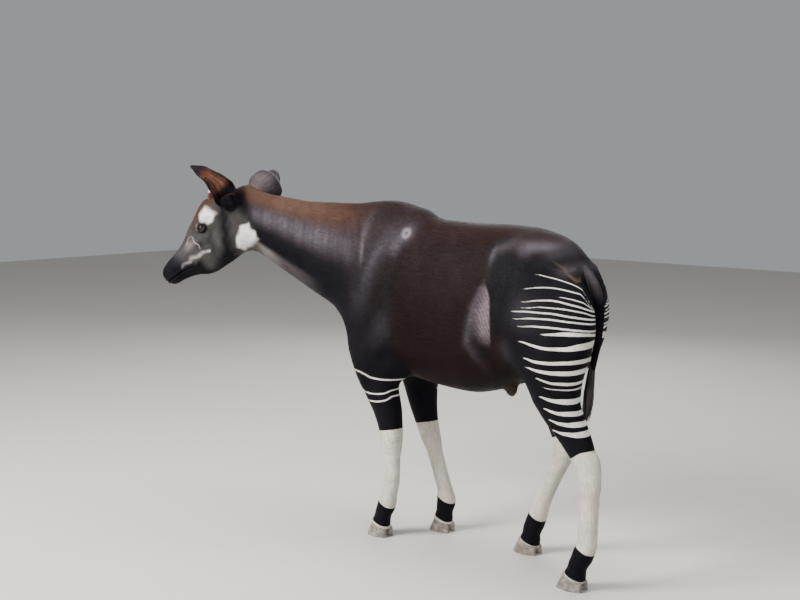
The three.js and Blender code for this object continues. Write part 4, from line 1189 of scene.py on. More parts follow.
        face = tint(face, TONES.muzzle, np.maximum(dark, lower) * 0.97)
        # Painted highlight on the muzzle's top.
        nose_highlight = bell(s, 405, 32) * smooth(v, -75, -35)
        face = tint(face, (0.05, 0.047, 0.054), nose_highlight * 0.75)
        mottle = 0.8 + 0.2 * np.sin(0.21 * s + 2 * np.sin(0.16 * v))
        face = tint(face, (0.52, 0.48, 0.455), stripe * mottle)
        ahead = bell(s, 290, 20) * bell(v, -42, 14)
        face = tint(face, TONES.muzzle, ahead * 0.6)
        for hand in Side:
            eye = np.linalg.norm(p - EYE.open_centre(hand), axis=1)
            face = tint(face, TONES.muzzle, smooth(eye, 30, 19) * 0.95)
            # Painted highlight over the front of the eye's upper lid.
            light = bell(eye, 28, 4) * smooth(v, 4, 16) * smooth(s, 215, 235)
            face = tint(face, (0.3, 0.25, 0.22), light * 0.5)
        paint.hide = paint.hide * (1 - on[:, None]) + face * on[:, None]
        white = smooth(fenced(flat, TEMPLE), -11, 8) * (side > 30) * (on > 0.4)
        paint.dye(TONES.copper, white * 0.8)
        paint.dye(TONES.chalk, white * smooth(s - 0.25 * v, 112, 150))
        d, _ = polyline(flat, np.array([(352, 10), (326, 16), (299, 14), (300, -20), (305, -58)]))
        line = smooth(d, 3.6, 1.0) * (side > 22) * (on > 0.4) * smooth(v, 40, -20)
        paint.dye((0.5, 0.45, 0.42), line * 0.7)
        throat = smooth(fenced(flat, THROAT), -9, 7) * (p[:, 0] < -860)
        paint.dye(TONES.chalk, throat * smooth(v, -232, -196))
        # Painted shade in the folds behind the ears.
        folds = bell(s, 14, 26) * bell(v, -45, 60) * smooth(side, 30, 60)
        paint.dye(TONES.slate, folds * 0.9)
        # Painted shade inside each ear's root.
        for ear in EARS:
            d, _ = polyline(p, np.array([ear.spine(0.0), ear.spine(0.12)]))
            depth = (p - ear.spine(0.0)) @ HEAD_FRAME.direction(ear.opens)
            inner = smooth(d, 44, 34) * smooth(depth, -44, -16)
            paint.dye(TONES.muzzle, inner * 0.9)


MARKINGS = Markings()


def coat_lie(p: Array, normal: Array) -> Array:
    """The way the hair lies at each point.

    Args:
        p: The points, in body millimetres.
        normal: The skin's normals there.

    Returns:
        Unit directions along the skin.
    """
    along, _ = FLESH.neck_place(p)
    heading = NECK_HEADING + np.clip(along, 0, None) / NECK_ARC
    neck_way = np.stack([np.cos(heading), np.sin(heading), np.full(len(p), -0.25)], axis=1)
    way = spread([1.0, 0.0, -0.18], len(p))
    on_neck = smooth(along, -60, 160)[:, None]
    way = way * (1 - on_neck) + neck_way * on_neck
    on_head = MARKINGS.on_head(p)[:, None]
    way = way * (1 - on_head) - HEAD_FRAME.along * on_head
    rump = (smooth(p[:, 0], 380, 640) * smooth(p[:, 2], 1420, 1150))[:, None]
    way = way * (1 - rump) + np.array([0.45, 0.0, -0.9]) * rump
    low = smooth(p[:, 2], 900, 720)[:, None]
    way = way * (1 - low) + np.array([0.05, 0.0, -1.0]) * low
    way = way - np.sum(way * normal, axis=1, keepdims=True) * normal
    return unit(way)


class Nodes:
    """Short words for building one material's nodes."""

    def __init__(self, name: str) -> None:
        self.material = bpy.data.materials.new(name)
        self.material.use_nodes = True
        self.tree = self.material.node_tree
        self.shader = self.tree.nodes["Principled BSDF"]

    def new(self, kind: str, **settings: object) -> bpy.types.Node:
        """Adds a node and sets its properties."""
        node = self.tree.nodes.new(kind)
        for key, value in settings.items():
            setattr(node, key, value)
        return node

    def plug(self, value: object, socket: Socket) -> None:
        """Sets a socket to a number or colour, or links an output to it."""
        if isinstance(value, Socket):
            self.tree.links.new(value, socket)
        else:
            socket.default_value = value

    def place(self) -> Socket:
        """Where each point lies, in the piece's own metres."""
        return self.new("ShaderNodeTexCoord").outputs["Object"]

    def attribute(self, name: str, output: str = "Fac") -> Socket:
        """Reads what a piece stores at its points."""
        return self.new("ShaderNodeAttribute", attribute_name=name).outputs[output]

    def noise(self, vector: object, scale: float, detail: float, rough: float) -> Socket:
        """Soft noise, near 0.5 on the whole."""
        node = self.new("ShaderNodeTexNoise")
        self.plug(vector, node.inputs["Vector"])
        node.inputs["Scale"].default_value = scale
        node.inputs["Detail"].default_value = detail
        node.inputs["Roughness"].default_value = rough
        return node.outputs["Fac"]

    def math(self, operation: str, a: object, b: object = 0.0) -> Socket:
        """One sum of two numbers."""
        node = self.new("ShaderNodeMath", operation=operation)
        self.plug(a, node.inputs[0])
        self.plug(b, node.inputs[1])
        return node.outputs[0]

    def vector_math(self, operation: str, a: object, b: object) -> Socket:
        """One sum of two vectors."""
        node = self.new("ShaderNodeVectorMath", operation=operation)
        self.plug(a, node.inputs[0])
        self.plug(b, node.inputs[1])
        return node.outputs[0]

    def span(self, value: object, low: float, high: float, to: tuple = (0.0, 1.0)) -> Socket:
        """Maps one range smoothly to another."""
        node = self.new("ShaderNodeMapRange", interpolation_type="SMOOTHSTEP")
        self.plug(value, node.inputs["Value"])
        node.inputs["From Min"].default_value = low
        node.inputs["From Max"].default_value = high
        node.inputs["To Min"].default_value, node.inputs["To Max"].default_value = to
        return node.outputs["Result"]

    def mix(self, share: object, a: object, b: object, way: str = "MIX") -> Socket:
        """Mixes two colours."""
        node = self.new("ShaderNodeMix", data_type="RGBA", blend_type=way)
        self.plug(share, node.inputs[0])
        self.plug(a, node.inputs[6])
        self.plug(b, node.inputs[7])
        return node.outputs[2]

    def bump(self, height: object, depth: float) -> None:
        """Gives the shader a bump of the given depth in metres."""
        node = self.new("ShaderNodeBump")
        node.inputs["Distance"].default_value = depth
        node.inputs["Strength"].default_value = 1.0
        self.plug(height, node.inputs["Height"])
        self.tree.links.new(node.outputs["Normal"], self.shader.inputs["Normal"])

    def set(self, **values: object) -> None:
        """Sets the shader's own sockets, with _ for a space."""
        for key, value in values.items():
            self.plug(value, self.shader.inputs[key.replace("_", " ")])


def colour(rgb: Sequence[float]) -> tuple:
    """A colour with full alpha."""
    return (*rgb, 1.0)


@dataclass(frozen=True)
class CoatFinish:
    """Short velvety hair whose colours and marks come with the mesh."""

    name: str
    hair_bump: float = 0.0011
    fringe: float = 0.55
    gloss: float = 0.04

    def material(self) -> Material:
        """Builds the material."""
        n = Nodes(self.name)
        place = n.place()
        lie = n.attribute("lie", "Vector")
        along = n.new("ShaderNodeVectorMath", operation="DOT_PRODUCT")
        n.plug(place, along.inputs[0])
        n.plug(lie, along.inputs[1])
        drawn = n.new("ShaderNodeVectorMath", operation="SCALE")
        n.plug(lie, drawn.inputs[0])
        n.plug(n.math("MULTIPLY", along.outputs["Value"], 0.86), drawn.inputs["Scale"])
        streaked = n.vector_math("SUBTRACT", place, drawn.outputs[0])
        hair = n.noise(streaked, 620, 2, 0.6)
        locks = n.noise(streaked, 120, 3, 0.6)
        patches = n.noise(place, 9, 4, 0.6)
        ragged = n.math("MULTIPLY", n.math("SUBTRACT", hair, 0.5), self.fringe * 3)
        edge = n.math("ADD", n.attribute("edge"), ragged)
        mark = n.span(edge, -0.7, 0.7)
        coat = n.mix(mark, n.attribute("hide", "Color"), n.attribute("pale", "Color"))
        tone = n.math("MULTIPLY", n.span(locks, 0.3, 0.7, (0.78, 1.2)), n.span(hair, 0.3, 0.7, (0.8, 1.2)))
        tone = n.math("MULTIPLY", tone, n.span(patches, 0.3, 0.7, (0.86, 1.14)))
        grey = n.new("ShaderNodeCombineColor")
        for channel in ("Red", "Green", "Blue"):
            n.plug(tone, grey.inputs[channel])
        n.set(Base_Color=n.mix(1.0, coat, grey.outputs[0], "MULTIPLY"))
        n.set(Roughness=n.span(locks, 0.25, 0.75, (0.36, 0.5)), Specular_IOR_Level=self.gloss)
        n.bump(n.math("ADD", hair, n.math("MULTIPLY", locks, 1.6)), self.hair_bump)
        return n.material


@dataclass(frozen=True)
class HornFinish:
    """Horn or bare skin: two tones in fine growth lines across an axis."""

    name: str
    base: tuple
    worn: tuple
    roughness: float
    lines: float = 260.0
    across: tuple = (0.25, 0.25, 1.0)
    depth: float = 0.0005

    def material(self) -> Material:
        """Builds the material."""
        n = Nodes(self.name)
        place = n.place()
        stretched = n.vector_math("MULTIPLY", place, self.across)
        rings = n.noise(stretched, self.lines, 2, 0.5)
        blotch = n.noise(place, 40, 4, 0.65)
        worn = n.span(n.math("ADD", blotch, n.math("MULTIPLY", rings, 0.4)), 0.55, 0.9)
        n.set(Base_Color=n.mix(worn, colour(self.base), colour(self.worn)))
        n.set(Roughness=n.span(blotch, 0.3, 0.7, (self.roughness - 0.08, self.roughness + 0.1)))
        n.set(Specular_IOR_Level=0.4)
        n.bump(n.math("ADD", rings, n.math("MULTIPLY", blotch, 0.5)), self.depth)
        return n.material


@dataclass(frozen=True)
class EyeFinish:
    """A wet dark eye: a near-black pupil bar in a deep brown iris under a clear coat."""

    name: str = "wet eye"

    def material(self) -> Material:
        """Builds the material."""
        n = Nodes(self.name)
        place = n.place()
        rays = n.noise(place, 900, 3, 0.6)
        iris = n.mix(rays, (0.004, 0.0025, 0.002, 1), (0.012, 0.007, 0.005, 1))
        pupil = n.span(n.attribute("pupil"), -0.6, 0.6)
        rim = n.span(n.attribute("white"), -0.8, 0.8)
        shade = n.mix(pupil, iris, (0.002, 0.002, 0.003, 1))
        n.set(Base_Color=n.mix(rim, shade, (0.012, 0.009, 0.008, 1)))
        n.set(Roughness=0.1, Specular_IOR_Level=0.1, Coat_Weight=0.6, Coat_Roughness=0.02)
        return n.material


@dataclass(frozen=True)
class HairFinish:
    """Long coarse hair in one dark tone with lighter strands."""

    name: str
    base: tuple
    light: tuple
    roughness: float = 0.42

    def material(self) -> Material:
        """Builds the material."""
        n = Nodes(self.name)
        place = n.place()
        strand = n.noise(n.vector_math("MULTIPLY", place, (1, 1, 0.06)), 420, 2, 0.6)
        n.set(Base_Color=n.mix(n.span(strand, 0.4, 0.75), colour(self.base), colour(self.light)))
        n.set(Roughness=n.span(strand, 0.3, 0.7, (self.roughness - 0.08, self.roughness + 0.1)))
        n.set(Specular_IOR_Level=0.5)
        n.bump(strand, 0.0006)
        return n.material


@dataclass(frozen=True)
class FloorFinish:
    """The plain pale studio floor."""

    name: str = "studio floor"

    def material(self) -> Material:
        """Builds the material."""
        n = Nodes(self.name)
        place = n.place()
        grain = n.noise(place, 30, 4, 0.6)
        n.set(Base_Color=n.mix(grain, (0.56, 0.54, 0.5, 1), (0.62, 0.6, 0.56, 1)))
        n.set(Roughness=0.85, Specular_IOR_Level=0.25)
        return n.material


def dress_coat(piece: Piece, p: Array, normal: Array) -> None:
    """Stores the coat's paint and lie at each point of a piece.

    Args:
        piece: The piece.
        p: Its points, in body millimetres.
        normal: The skin's normals there.
    """
    paint = MARKINGS.paint(p, normal)
    add_colour(piece, "hide", paint.hide)
    add_colour(piece, "pale", paint.pale)
    add_number(piece, "edge", np.clip(paint.edge, -EDGE_LIMIT, EDGE_LIMIT))
    add_vector(piece, "lie", coat_lie(p, normal))


def line_on_skin(places: Sequence, ways: Sequence, longest: float = 160.0) -> Array:
    """Head places pushed out to the skin.

    Args:
        places: Body points inside the head.
        ways: The way out of each.
        longest: The furthest the skin may lie.

    Returns:
        The points on the skin.
    """
    return FLESH.reach(np.array(places, float), unit(np.array(ways, float)), longest)


class FaceCarving:
    """The mouth's line, the nostrils, and the small folds by the eyes, as moves of the skin."""

    MOUTH_CORNER = (418.0, -84.0)
    MOUTH_FRONT = (548.0, -42.0)
    MOUTH_STEPS = 16
    NOSTRIL = ((494.0, 6.0), (507.0, 1.0), (517.0, -7.0), (519.0, -16.0))

    def mouth(self) -> Array:
        """The mouth's line on the skin, from one corner round the front to the other."""
        places, ways = [], []
        for i in range(-self.MOUTH_STEPS, self.MOUTH_STEPS + 1):
            t = abs(i) / self.MOUTH_STEPS
            a = self.MOUTH_FRONT[0] - 60 + t * (self.MOUTH_CORNER[0] - self.MOUTH_FRONT[0] + 60)
            u = self.MOUTH_FRONT[1] + t * t * (self.MOUTH_CORNER[1] - self.MOUTH_FRONT[1])
            u -= 10 * math.sin(math.pi * t)
            turn = i / self.MOUTH_STEPS * math.pi / 2
            forward = max(math.cos(turn * 1.25), 0)
            ways.append(HEAD_FRAME.along * forward + HEAD_FRAME.left * math.sin(turn))
            places.append(HEAD_FRAME.point((a - 8, u, 0)))
        return line_on_skin(places, ways)

    def nostril(self, side: Side) -> Array:
        """One nostril's comma on the skin."""
        ways = [HEAD_FRAME.left * side.value + HEAD_FRAME.along * 0.55] * len(self.NOSTRIL)
        places = [HEAD_FRAME.point((a, u, 4), side.value) for a, u in self.NOSTRIL]
        return line_on_skin(places, ways, 90)

    def apply(self, p: Array, normal: Array) -> Array:
        """Moves the skin's points.

        Args:
            p: The points, in body millimetres.
            normal: The skin's normals.

        Returns:
            The moved points.
        """
        lift = np.zeros(len(p))
        near = np.flatnonzero(HEAD_FRAME.local(p)[:, 0] > 380)
        if p[near].size:
            q = p[near]
            d, t = polyline(q, self.mouth())
            fade = np.sin(np.pi * np.clip(t, 0.03, 0.97)) ** 0.4
            lips = 3.2 * bell(d, 8, 5) - 6.5 * bell(d, 0, 2.3)
            lift[near] += lips * fade
            for side in Side:
                d, t = polyline(q, self.nostril(side))
                body = 0.45 + 0.55 * t
                lift[near] += 3.0 * bell(d, 9, 5) * body - 11 * bell(d, 0, 3.6) * body
            local = HEAD_FRAME.local(q)
            chin = bell(local[:, 2], 0, 3) * smooth(local[:, 1], -44, -36) * smooth(local[:, 0], 500, 530)
            lift[near] -= 2.0 * chin
        for side in Side:
            centre = EYE.centre(side)
            near = np.flatnonzero(np.linalg.norm(p - centre, axis=1) < 70)
            local = HEAD_FRAME.local(p[near]) - HEAD_FRAME.local(centre[None])
            a, u = local[:, 0], local[:, 1]
            arc = np.hypot(a / 27, (u + 1) / 21)
            upper = bell(arc, 1.0, 0.12) * smooth(u, -2, 8)
            lower = bell(arc, 1.08, 0.12) * smooth(u, 0, -8)
            lift[near] -= 1.8 * upper + 1.4 * lower
            tear = bell(np.hypot(a - 30, u + 14), 0, 9)
            lift[near] -= 2.5 * tear
        return p + normal * lift[:, None]


class Skin:
    """One skin over the whole animal, with its folds, marks and short coat."""

    STEP = 7.0
    MARGIN = 22.0
    NODES = (
        "torso", "neck", "head", "tail",
        "leg_fore_left", "leg_fore_right", "leg_hind_left", "leg_hind_right",
    )

    def __init__(self, coat: Material) -> None:
        self.coat = coat

    def _extent(self) -> tuple[Array, Array]:
        """The box that the skin lies in, in body millimetres, with a margin."""
        boxes = [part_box(node) for node in self.NODES]
        low = np.min([np.array(b[0]) for b in boxes], axis=0)
        high = np.max([np.array(b[1]) for b in boxes], axis=0)
        return (low - SHIFT) / MM - self.MARGIN, (high - SHIFT) / MM + self.MARGIN

    def _refine(self, piece: Piece, refinement: Refinement) -> None:
        """Halves the faces of one region and settles the new points."""
        p = body_points(piece)
        wanted = refinement.wanted(p)
        work = bmesh.new()
        work.from_mesh(piece.data)
        work.verts.ensure_lookup_table()
        chosen = [f for f in work.faces if all(wanted[v.index] for v in f.verts)]
        edges = list({e for f in chosen for e in f.edges})
        bmesh.ops.subdivide_edges(work, edges=edges, cuts=1, use_grid_fill=True)
        work.to_mesh(piece.data)
        work.free()
        settled, _ = FLESH.settle(body_points(piece), 2)
        set_points(piece, to_world(settled))

    def build(self) -> Piece:
        """Builds the skin and dresses it.

        Returns:
            The skin's object.
        """
        low, high = self._extent()
        step = self.STEP * 1.0
        points, quads = FieldMesher(FLESH.distance, low, high, step).mesh()
        LOG.info("skin cast: %d points", len(points))
        points, _ = FLESH.settle(points, 2)
        piece = mesh_object("skin", to_world(points), quads)
        for refinement in REFINEMENTS:
            self._refine(piece, refinement)
            LOG.info("skin refined at the %s: %d points", refinement.name, len(piece.data.vertices))
        p, normal = FLESH.settle(body_points(piece), 1)
        dress_coat(piece, p, normal)
        lateral = smooth(np.abs(p[:, 1]), 30, 90)
        lift = np.zeros(len(p))
        for stroke in STROKES:
            lift += stroke.lift(p) * lateral
        carved = FaceCarving().apply(p + normal * lift[:, None], normal)
        set_points(piece, to_world(carved))
        piece.data.materials.append(self.coat)
        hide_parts(*self.NODES)
        return piece


class EarCup:
    """One ear: a thin open cup that narrows to a soft point, with hair along its rim and inside."""

    ROWS = 44
    COLUMNS = 30
    THICKNESS = 4.2

    def __init__(self, pose: EarPose) -> None:
        self.pose = pose
        self.shape = Rows(list(zip(EAR_PLACES, pose.outline, EAR_WRAP)))
        self.along = HEAD_FRAME.direction(pose.points)
        opening = HEAD_FRAME.direction(pose.opens)
        self.opening = unit(opening - self.along * (opening @ self.along))
        self.across = np.cross(self.along, self.opening)

    def surface(self, t: Array, s: Array, inset: Array | float) -> Array:
        """Points of the cup.

        Args:
            t: Share of the length.
            s: From -1 at one edge to 1 at the other.
            inset: Depth under the outer face.

        Returns:
            The points, in body millimetres.
        """
        width, wrap = self.shape.at(np.power(np.clip(t, 0, 1), self.pose.blunt))
        half = np.radians(wrap)
        w = width * self.pose.reach
        rim = np.where(half < np.pi / 2, w / np.sin(np.minimum(half, np.pi / 2)), w)
        radius = np.maximum(rim - inset * (1 - 0.5 * np.abs(s)), rim * 0.3)
        curl = 3.5 * smooth(np.abs(s), 0.82, 1.0) * smooth(t, 0.05, 0.3)
        ripple = 1.2 * np.sin(t * 21 + s * 3) * smooth(np.abs(s), 0.2, 0.9) * smooth(t, 0.1, 0.4)
        radius = radius + curl + ripple
        deep = (rim * 0.55 - w * 0.35 - radius * np.cos(s * half))[:, None]
        return self.pose.spine(t) + self.opening * deep + self.across * (radius * np.sin(s * half))[:, None]

    def build(self, coat: Material) -> Piece:
        """Builds the cup and dresses it.

        Args:
            coat: The coat's material.

        Returns:
            The ear's object.
        """
        t, s = np.meshgrid(np.linspace(0, 1, self.ROWS), np.linspace(-1, 1, self.COLUMNS), indexing="ij")
        t, s = t.ravel(), s.ravel()
        outer = self.surface(t, s, 0.0)
        inner = self.surface(t, s, self.THICKNESS * (1 - 0.4 * t))
        count = len(outer)
        index = np.arange(count).reshape(self.ROWS, self.COLUMNS)
        a, b, c, d = index[:-1, :-1], index[:-1, 1:], index[1:, 1:], index[1:, :-1]
        sheet = np.stack([a, b, c, d], axis=-1).reshape(-1, 4)
        rims = []
        for strip in (index[:, 0], index[::-1, -1], index[0, ::-1], index[-1, :]):
            rims.append(np.stack([strip[:-1], strip[1:], strip[1:] + count, strip[:-1] + count], axis=-1))
        faces = np.concatenate([sheet, sheet[:, ::-1] + count, *rims])
        points = np.concatenate([outer, inner])
        piece = mesh_object(f"ear_skin_{self.pose.side.word}", to_world(points), faces)
        turn_outward(piece)
        inside = np.repeat([0.0, 1.0], count)
        hide = self.tones(np.tile(t, 2), np.tile(s, 2), inside)
        plain_dress(piece, hide, spread(TONES.cream, len(hide)), self.along)
        piece.data.materials.append(coat)
        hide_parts(f"ear_{self.pose.side.word}")
        return piece

    def tones(self, t: Array, s: Array, inside: Array) -> Array:
        """The ear's colours, with painted sheen and shade, at shares of its length and breadth, outside or
        inside.
        """
        back = spread((0.03, 0.024, 0.03), len(t))
        back = tint(back, TONES.copper, smooth(t, 0.42, 0.24) * 0.9)
        # Painted sheen in the middle of the ear's back.
        back = tint(back, (0.085, 0.072, 0.073), bell(t, 0.4, 0.17) * bell(s, 0, 0.5) * 0.9)
        cup = spread((0.1, 0.04, 0.026), len(t))
        streaks = 0.5 + 0.5 * np.sin(s * 17 + 1.3 * np.sin(t * 9))
        cup = tint(cup, (0.2, 0.1, 0.065), streaks * smooth(t, 0.26, 0.42) * smooth(t, 0.8, 0.6) * 0.8)
        # Painted shade deep in the base of the cup.
        cup = tint(cup, TONES.muzzle, smooth(t, 0.4, 0.24))
        both = back * (1 - inside[:, None]) + cup * inside[:, None]
        both = tint(both, (0.03, 0.024, 0.034), smooth(t, 0.7, 0.86) * 0.9)
        rim = smooth(np.abs(s), 0.62, 0.88) * (1 - inside) + smooth(np.abs(s), 0.82, 0.94) * inside
        both = tint(both, (0.012, 0.012, 0.02), rim * 0.9 * smooth(t, 0.2, 0.4))
        # Painted shade on the ear's rolled base.
        fold = smooth(t, 0.36, 0.2) * smooth(np.abs(s), 0.35, 0.6)
        return tint(both, TONES.muzzle, fold * 0.85)


def ribbon(route: Array, widths: Array, across: Array) -> tuple[Array, list]:
    """A flat blade of hair.

    Args:
        route: The blade's middle line.
        widths: Its half width at each point; the last may be 0.
        across: The way of its breadth.

    Returns:
        Its points and faces.
    """
    left = route - across * widths[:, None]
    right = route + across * widths[:, None]
    points = np.concatenate([left[:-1], right[:-1], route[-1:]])
    n = len(route) - 1
    faces: list = [(i, i + n, i + n + 1, i + 1) for i in range(n - 1)]
    faces.append((n - 1, 2 * n - 1, 2 * n))
    return points, faces


def joined(parts: Sequence[tuple[Array, list]]) -> tuple[Array, list]:
    """Several meshes' points and faces as one."""
    points, faces, base = [], [], 0
    for part_points, part_faces in parts:
        points.append(part_points)
        faces.extend(tuple(i + base for i in face) for face in part_faces)
        base += len(part_points)
    return np.concatenate(points), faces


class EarHair:
    """Fine hair along an ear's rim and deep in its cup."""

    RIM = 260
    INNER = 420

    def __init__(self, cup: EarCup, seed: int) -> None:
        self.cup = cup
        self.random = np.random.default_rng(seed)

    def _blade(self, t: float, s: float, length: float, rim: bool) -> tuple[Array, list]:
        """One blade rooted at a place of the cup."""
        inset = 1.0 if rim else self.cup.THICKNESS * (1 - 0.4 * t) - 0.3
        here = self.cup.surface(np.array([t]), np.array([s]), inset)[0]
        ahead = self.cup.surface(np.array([min(t + 0.04, 1.0)]), np.array([s]), inset)[0]
        flow = unit(ahead - here)
        outer = self.cup.surface(np.array([t]), np.array([s]), 0.0)[0]
        away = unit(here - outer) if not rim else -self.cup.opening * 0.2
        inward = unit(self.cup.pose.spine(t) - here)
        way = unit(flow + (inward * 0.55 if not rim else away + self.cup.across * np.sign(s) * 0.25))
        lift = self.cup.opening if rim else unit(away)
        steps = np.array([0.0, 0.5, 1.0])[:, None]
        bow = 0.16 * steps * (1 - steps) * 4 * (0.3 if rim else 0.6)
        route = here + way * length * steps + lift * length * bow
        return ribbon(route, np.array([0.5, 0.35, 0.0]), unit(np.cross(way, lift)))

    def build(self, material: Material) -> Piece:
        """Builds the hair as one piece.

        Args:
            material: The hair's material.

        Returns:
            The hair's object.
        """
        blades, roots = [], []
        draw = self.random.random
        for _ in range(self.RIM):
            t, s = 0.06 + 0.9 * draw(), (0.97 + 0.03 * draw()) * (1 if draw() < 0.5 else -1)
            blades.append(self._blade(t, s, (5 + 6 * draw()) * (1 - 0.5 * t), True))
            roots.append((t, s))
        for _ in range(self.INNER):
            t, s = 0.16 + 0.5 * draw(), (0.25 + 0.68 * math.sqrt(draw())) * (1 if draw() < 0.5 else -1)
            blades.append(self._blade(t, s, (16 + 16 * draw()) * (1 - 0.6 * t), False))
            roots.append((t, s))
        points, faces = joined(blades)
        word = self.cup.pose.side.word
        piece = mesh_object(f"ear_hair_{word}", to_world(points), faces)
        each = len(blades[0][0])
        t = np.repeat([r[0] for r in roots], each)
        s = np.repeat([r[1] for r in roots], each)
        # The cup's colours, painted shade at its base included.
        tones = self.cup.tones(t, s, np.ones(len(t)))
        tones = tint(tones, (0.16, 0.1, 0.075), np.repeat(self.random.random(len(blades)) ** 2, each) * 0.4)
        plain_dress(piece, tones, tones, self.cup.along)
        piece.data.materials.append(material)
        return piece


class EyeBall:
    """A wet eyeball with a bulging cornea, its dark lid rim and its lashes."""

    RINGS = 28
    SEGMENTS = 40
    LASHES = 46

    def __init__(self, side: Side) -> None:
        self.side = side
        self.centre = EYE.centre(side)
        self.look = unit(HEAD_FRAME.left * side.value + HEAD_FRAME.along * 0.12 - HEAD_FRAME.up * 0.02)
        self.wide = unit(HEAD_FRAME.along - self.look * (HEAD_FRAME.along @ self.look))
        self.high = np.cross(self.wide, self.look) * -side.value
        if self.high @ HEAD_FRAME.up < 0:
            self.high = -self.high

    def ball(self, eye: Material) -> Piece:
        """Builds the eyeball.

        Args:
            eye: The eye's material.

        Returns:
            The ball's object.
        """
        angle = np.linspace(0, math.pi, self.RINGS)[1:-1]
        turn = turns(self.SEGMENTS)
        a, b = np.meshgrid(angle, turn, indexing="ij")
        a, b = a.ravel(), b.ravel()
        bulge = 1.7 * smooth(np.degrees(a), 42, 10)
        radius = (EYE.radius - 0.6 + bulge)[:, None]
        ways = np.cos(a)[:, None] * self.look + np.sin(a)[:, None] * (
            np.cos(b)[:, None] * self.wide + np.sin(b)[:, None] * self.high
        )
        points = np.concatenate([self.centre + ways * radius, [self.centre + self.look * (EYE.radius + 1.1)]])
        points = np.concatenate([points, [self.centre - self.look * (EYE.radius - 0.6)]])
        n, m = len(angle), self.SEGMENTS
        faces = ring_faces(n, m)
        faces += [(n * m, (j + 1) % m, j) for j in range(m)]
        faces += [(n * m + 1, (n - 1) * m + j, (n - 1) * m + (j + 1) % m) for j in range(m)]
        piece = mesh_object(f"eyeball_{self.side.word}", to_world(points), faces)
        wide = (points - self.centre) @ self.wide
        high = (points - self.centre) @ self.high
        front = (points - self.centre) @ self.look > 0
        pupil = 1 - np.hypot(wide / 7.5, high / 4.6) ** 2
        add_number(piece, "pupil", np.where(front, pupil * 3, -3))
        add_number(piece, "white", np.where(front, (np.hypot(wide, high) - 14.5) * 0.8, 3))
        piece.data.materials.append(eye)
        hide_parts(f"eye_{self.side.word}")
        return piece

    def opening(self, count: int) -> Array:
        """The lids' edge, from the front corner over the top and back below."""
        turn = turns(count)
        x, y = np.cos(turn), np.sin(turn)
        low, high = np.zeros(count), np.full(count, math.pi / 2)
        reach = EYE.radius + EYE.lid - 0.3
        wide, tall, deep = EYE.opening
        for _ in range(24):
            middle = (low + high) / 2
            a, u, s = reach * np.sin(middle) * x, reach * np.sin(middle) * y, reach * np.cos(middle)
            out = (a / wide) ** 2 + ((u + 1) / tall) ** 2 + ((s - EYE.opening_out) / deep) ** 2 > 1
            high = np.where(out, middle, high)
            low = np.where(out, low, middle)
        local = np.stack([reach * np.sin(low) * x, reach * np.sin(low) * y, reach * np.cos(low)], axis=1)
        local[:, 2] *= self.side.value
        return self.centre + local @ HEAD_FRAME.axes

    def rim(self, material: Material) -> Piece:
        """Builds the bare dark rim of the lids.

        Args:
            material: The bare skin's material.

        Returns:
            The rim's object.
        """
        count, around = 64, 8
        edge = self.opening(count)
        ahead = unit(np.roll(edge, -1, 0) - np.roll(edge, 1, 0))
        out = unit(edge - self.centre)
        across = np.cross(ahead, out)
        points = []
        for j in range(around):
            turn = j / around * 2 * math.pi
            points.append(edge + (out * math.cos(turn) + across * math.sin(turn)) * 1.5 - out * 0.4)
        faces: list = []
        for j in range(around):
            k = (j + 1) % around
            for i in range(count):
                n = (i + 1) % count
                faces.append((j * count + i, j * count + n, k * count + n, k * count + i))
        piece = mesh_object(f"lid_rim_{self.side.word}", to_world(np.concatenate(points)), faces)
        piece.data.materials.append(material)
        return piece

    def lashes(self, material: Material, seed: int) -> Piece:
        """Builds the upper lid's lashes.

        Args:
            material: The hair's material.
            seed: The random draw's seed.

        Returns:
            The lashes' object.
        """
        random = np.random.default_rng(seed)
        edge = self.opening(120)
        blades = []
        for _ in range(self.LASHES):
            at = int(8 + 46 * random.random())
            root = edge[at]
            out = unit(root - self.centre)
            length = 7 + 5 * random.random()
            lean = (at / 60 - 0.5) * -0.7 + 0.3 * (random.random() - 0.5)
            way = unit(out + HEAD_FRAME.up * 0.25 + HEAD_FRAME.along * lean)
            steps = np.array([0.0, 0.4, 0.75, 1.0])[:, None]
            route = root + way * length * steps + HEAD_FRAME.up * length * 0.35 * steps**2
            across = unit(np.cross(way, HEAD_FRAME.up))
            blades.append(ribbon(route, np.array([0.42, 0.36, 0.2, 0.0]), across))
        points, faces = joined(blades)
        piece = mesh_object(f"lashes_{self.side.word}", to_world(points), faces)
        piece.data.materials.append(material)
        return piece


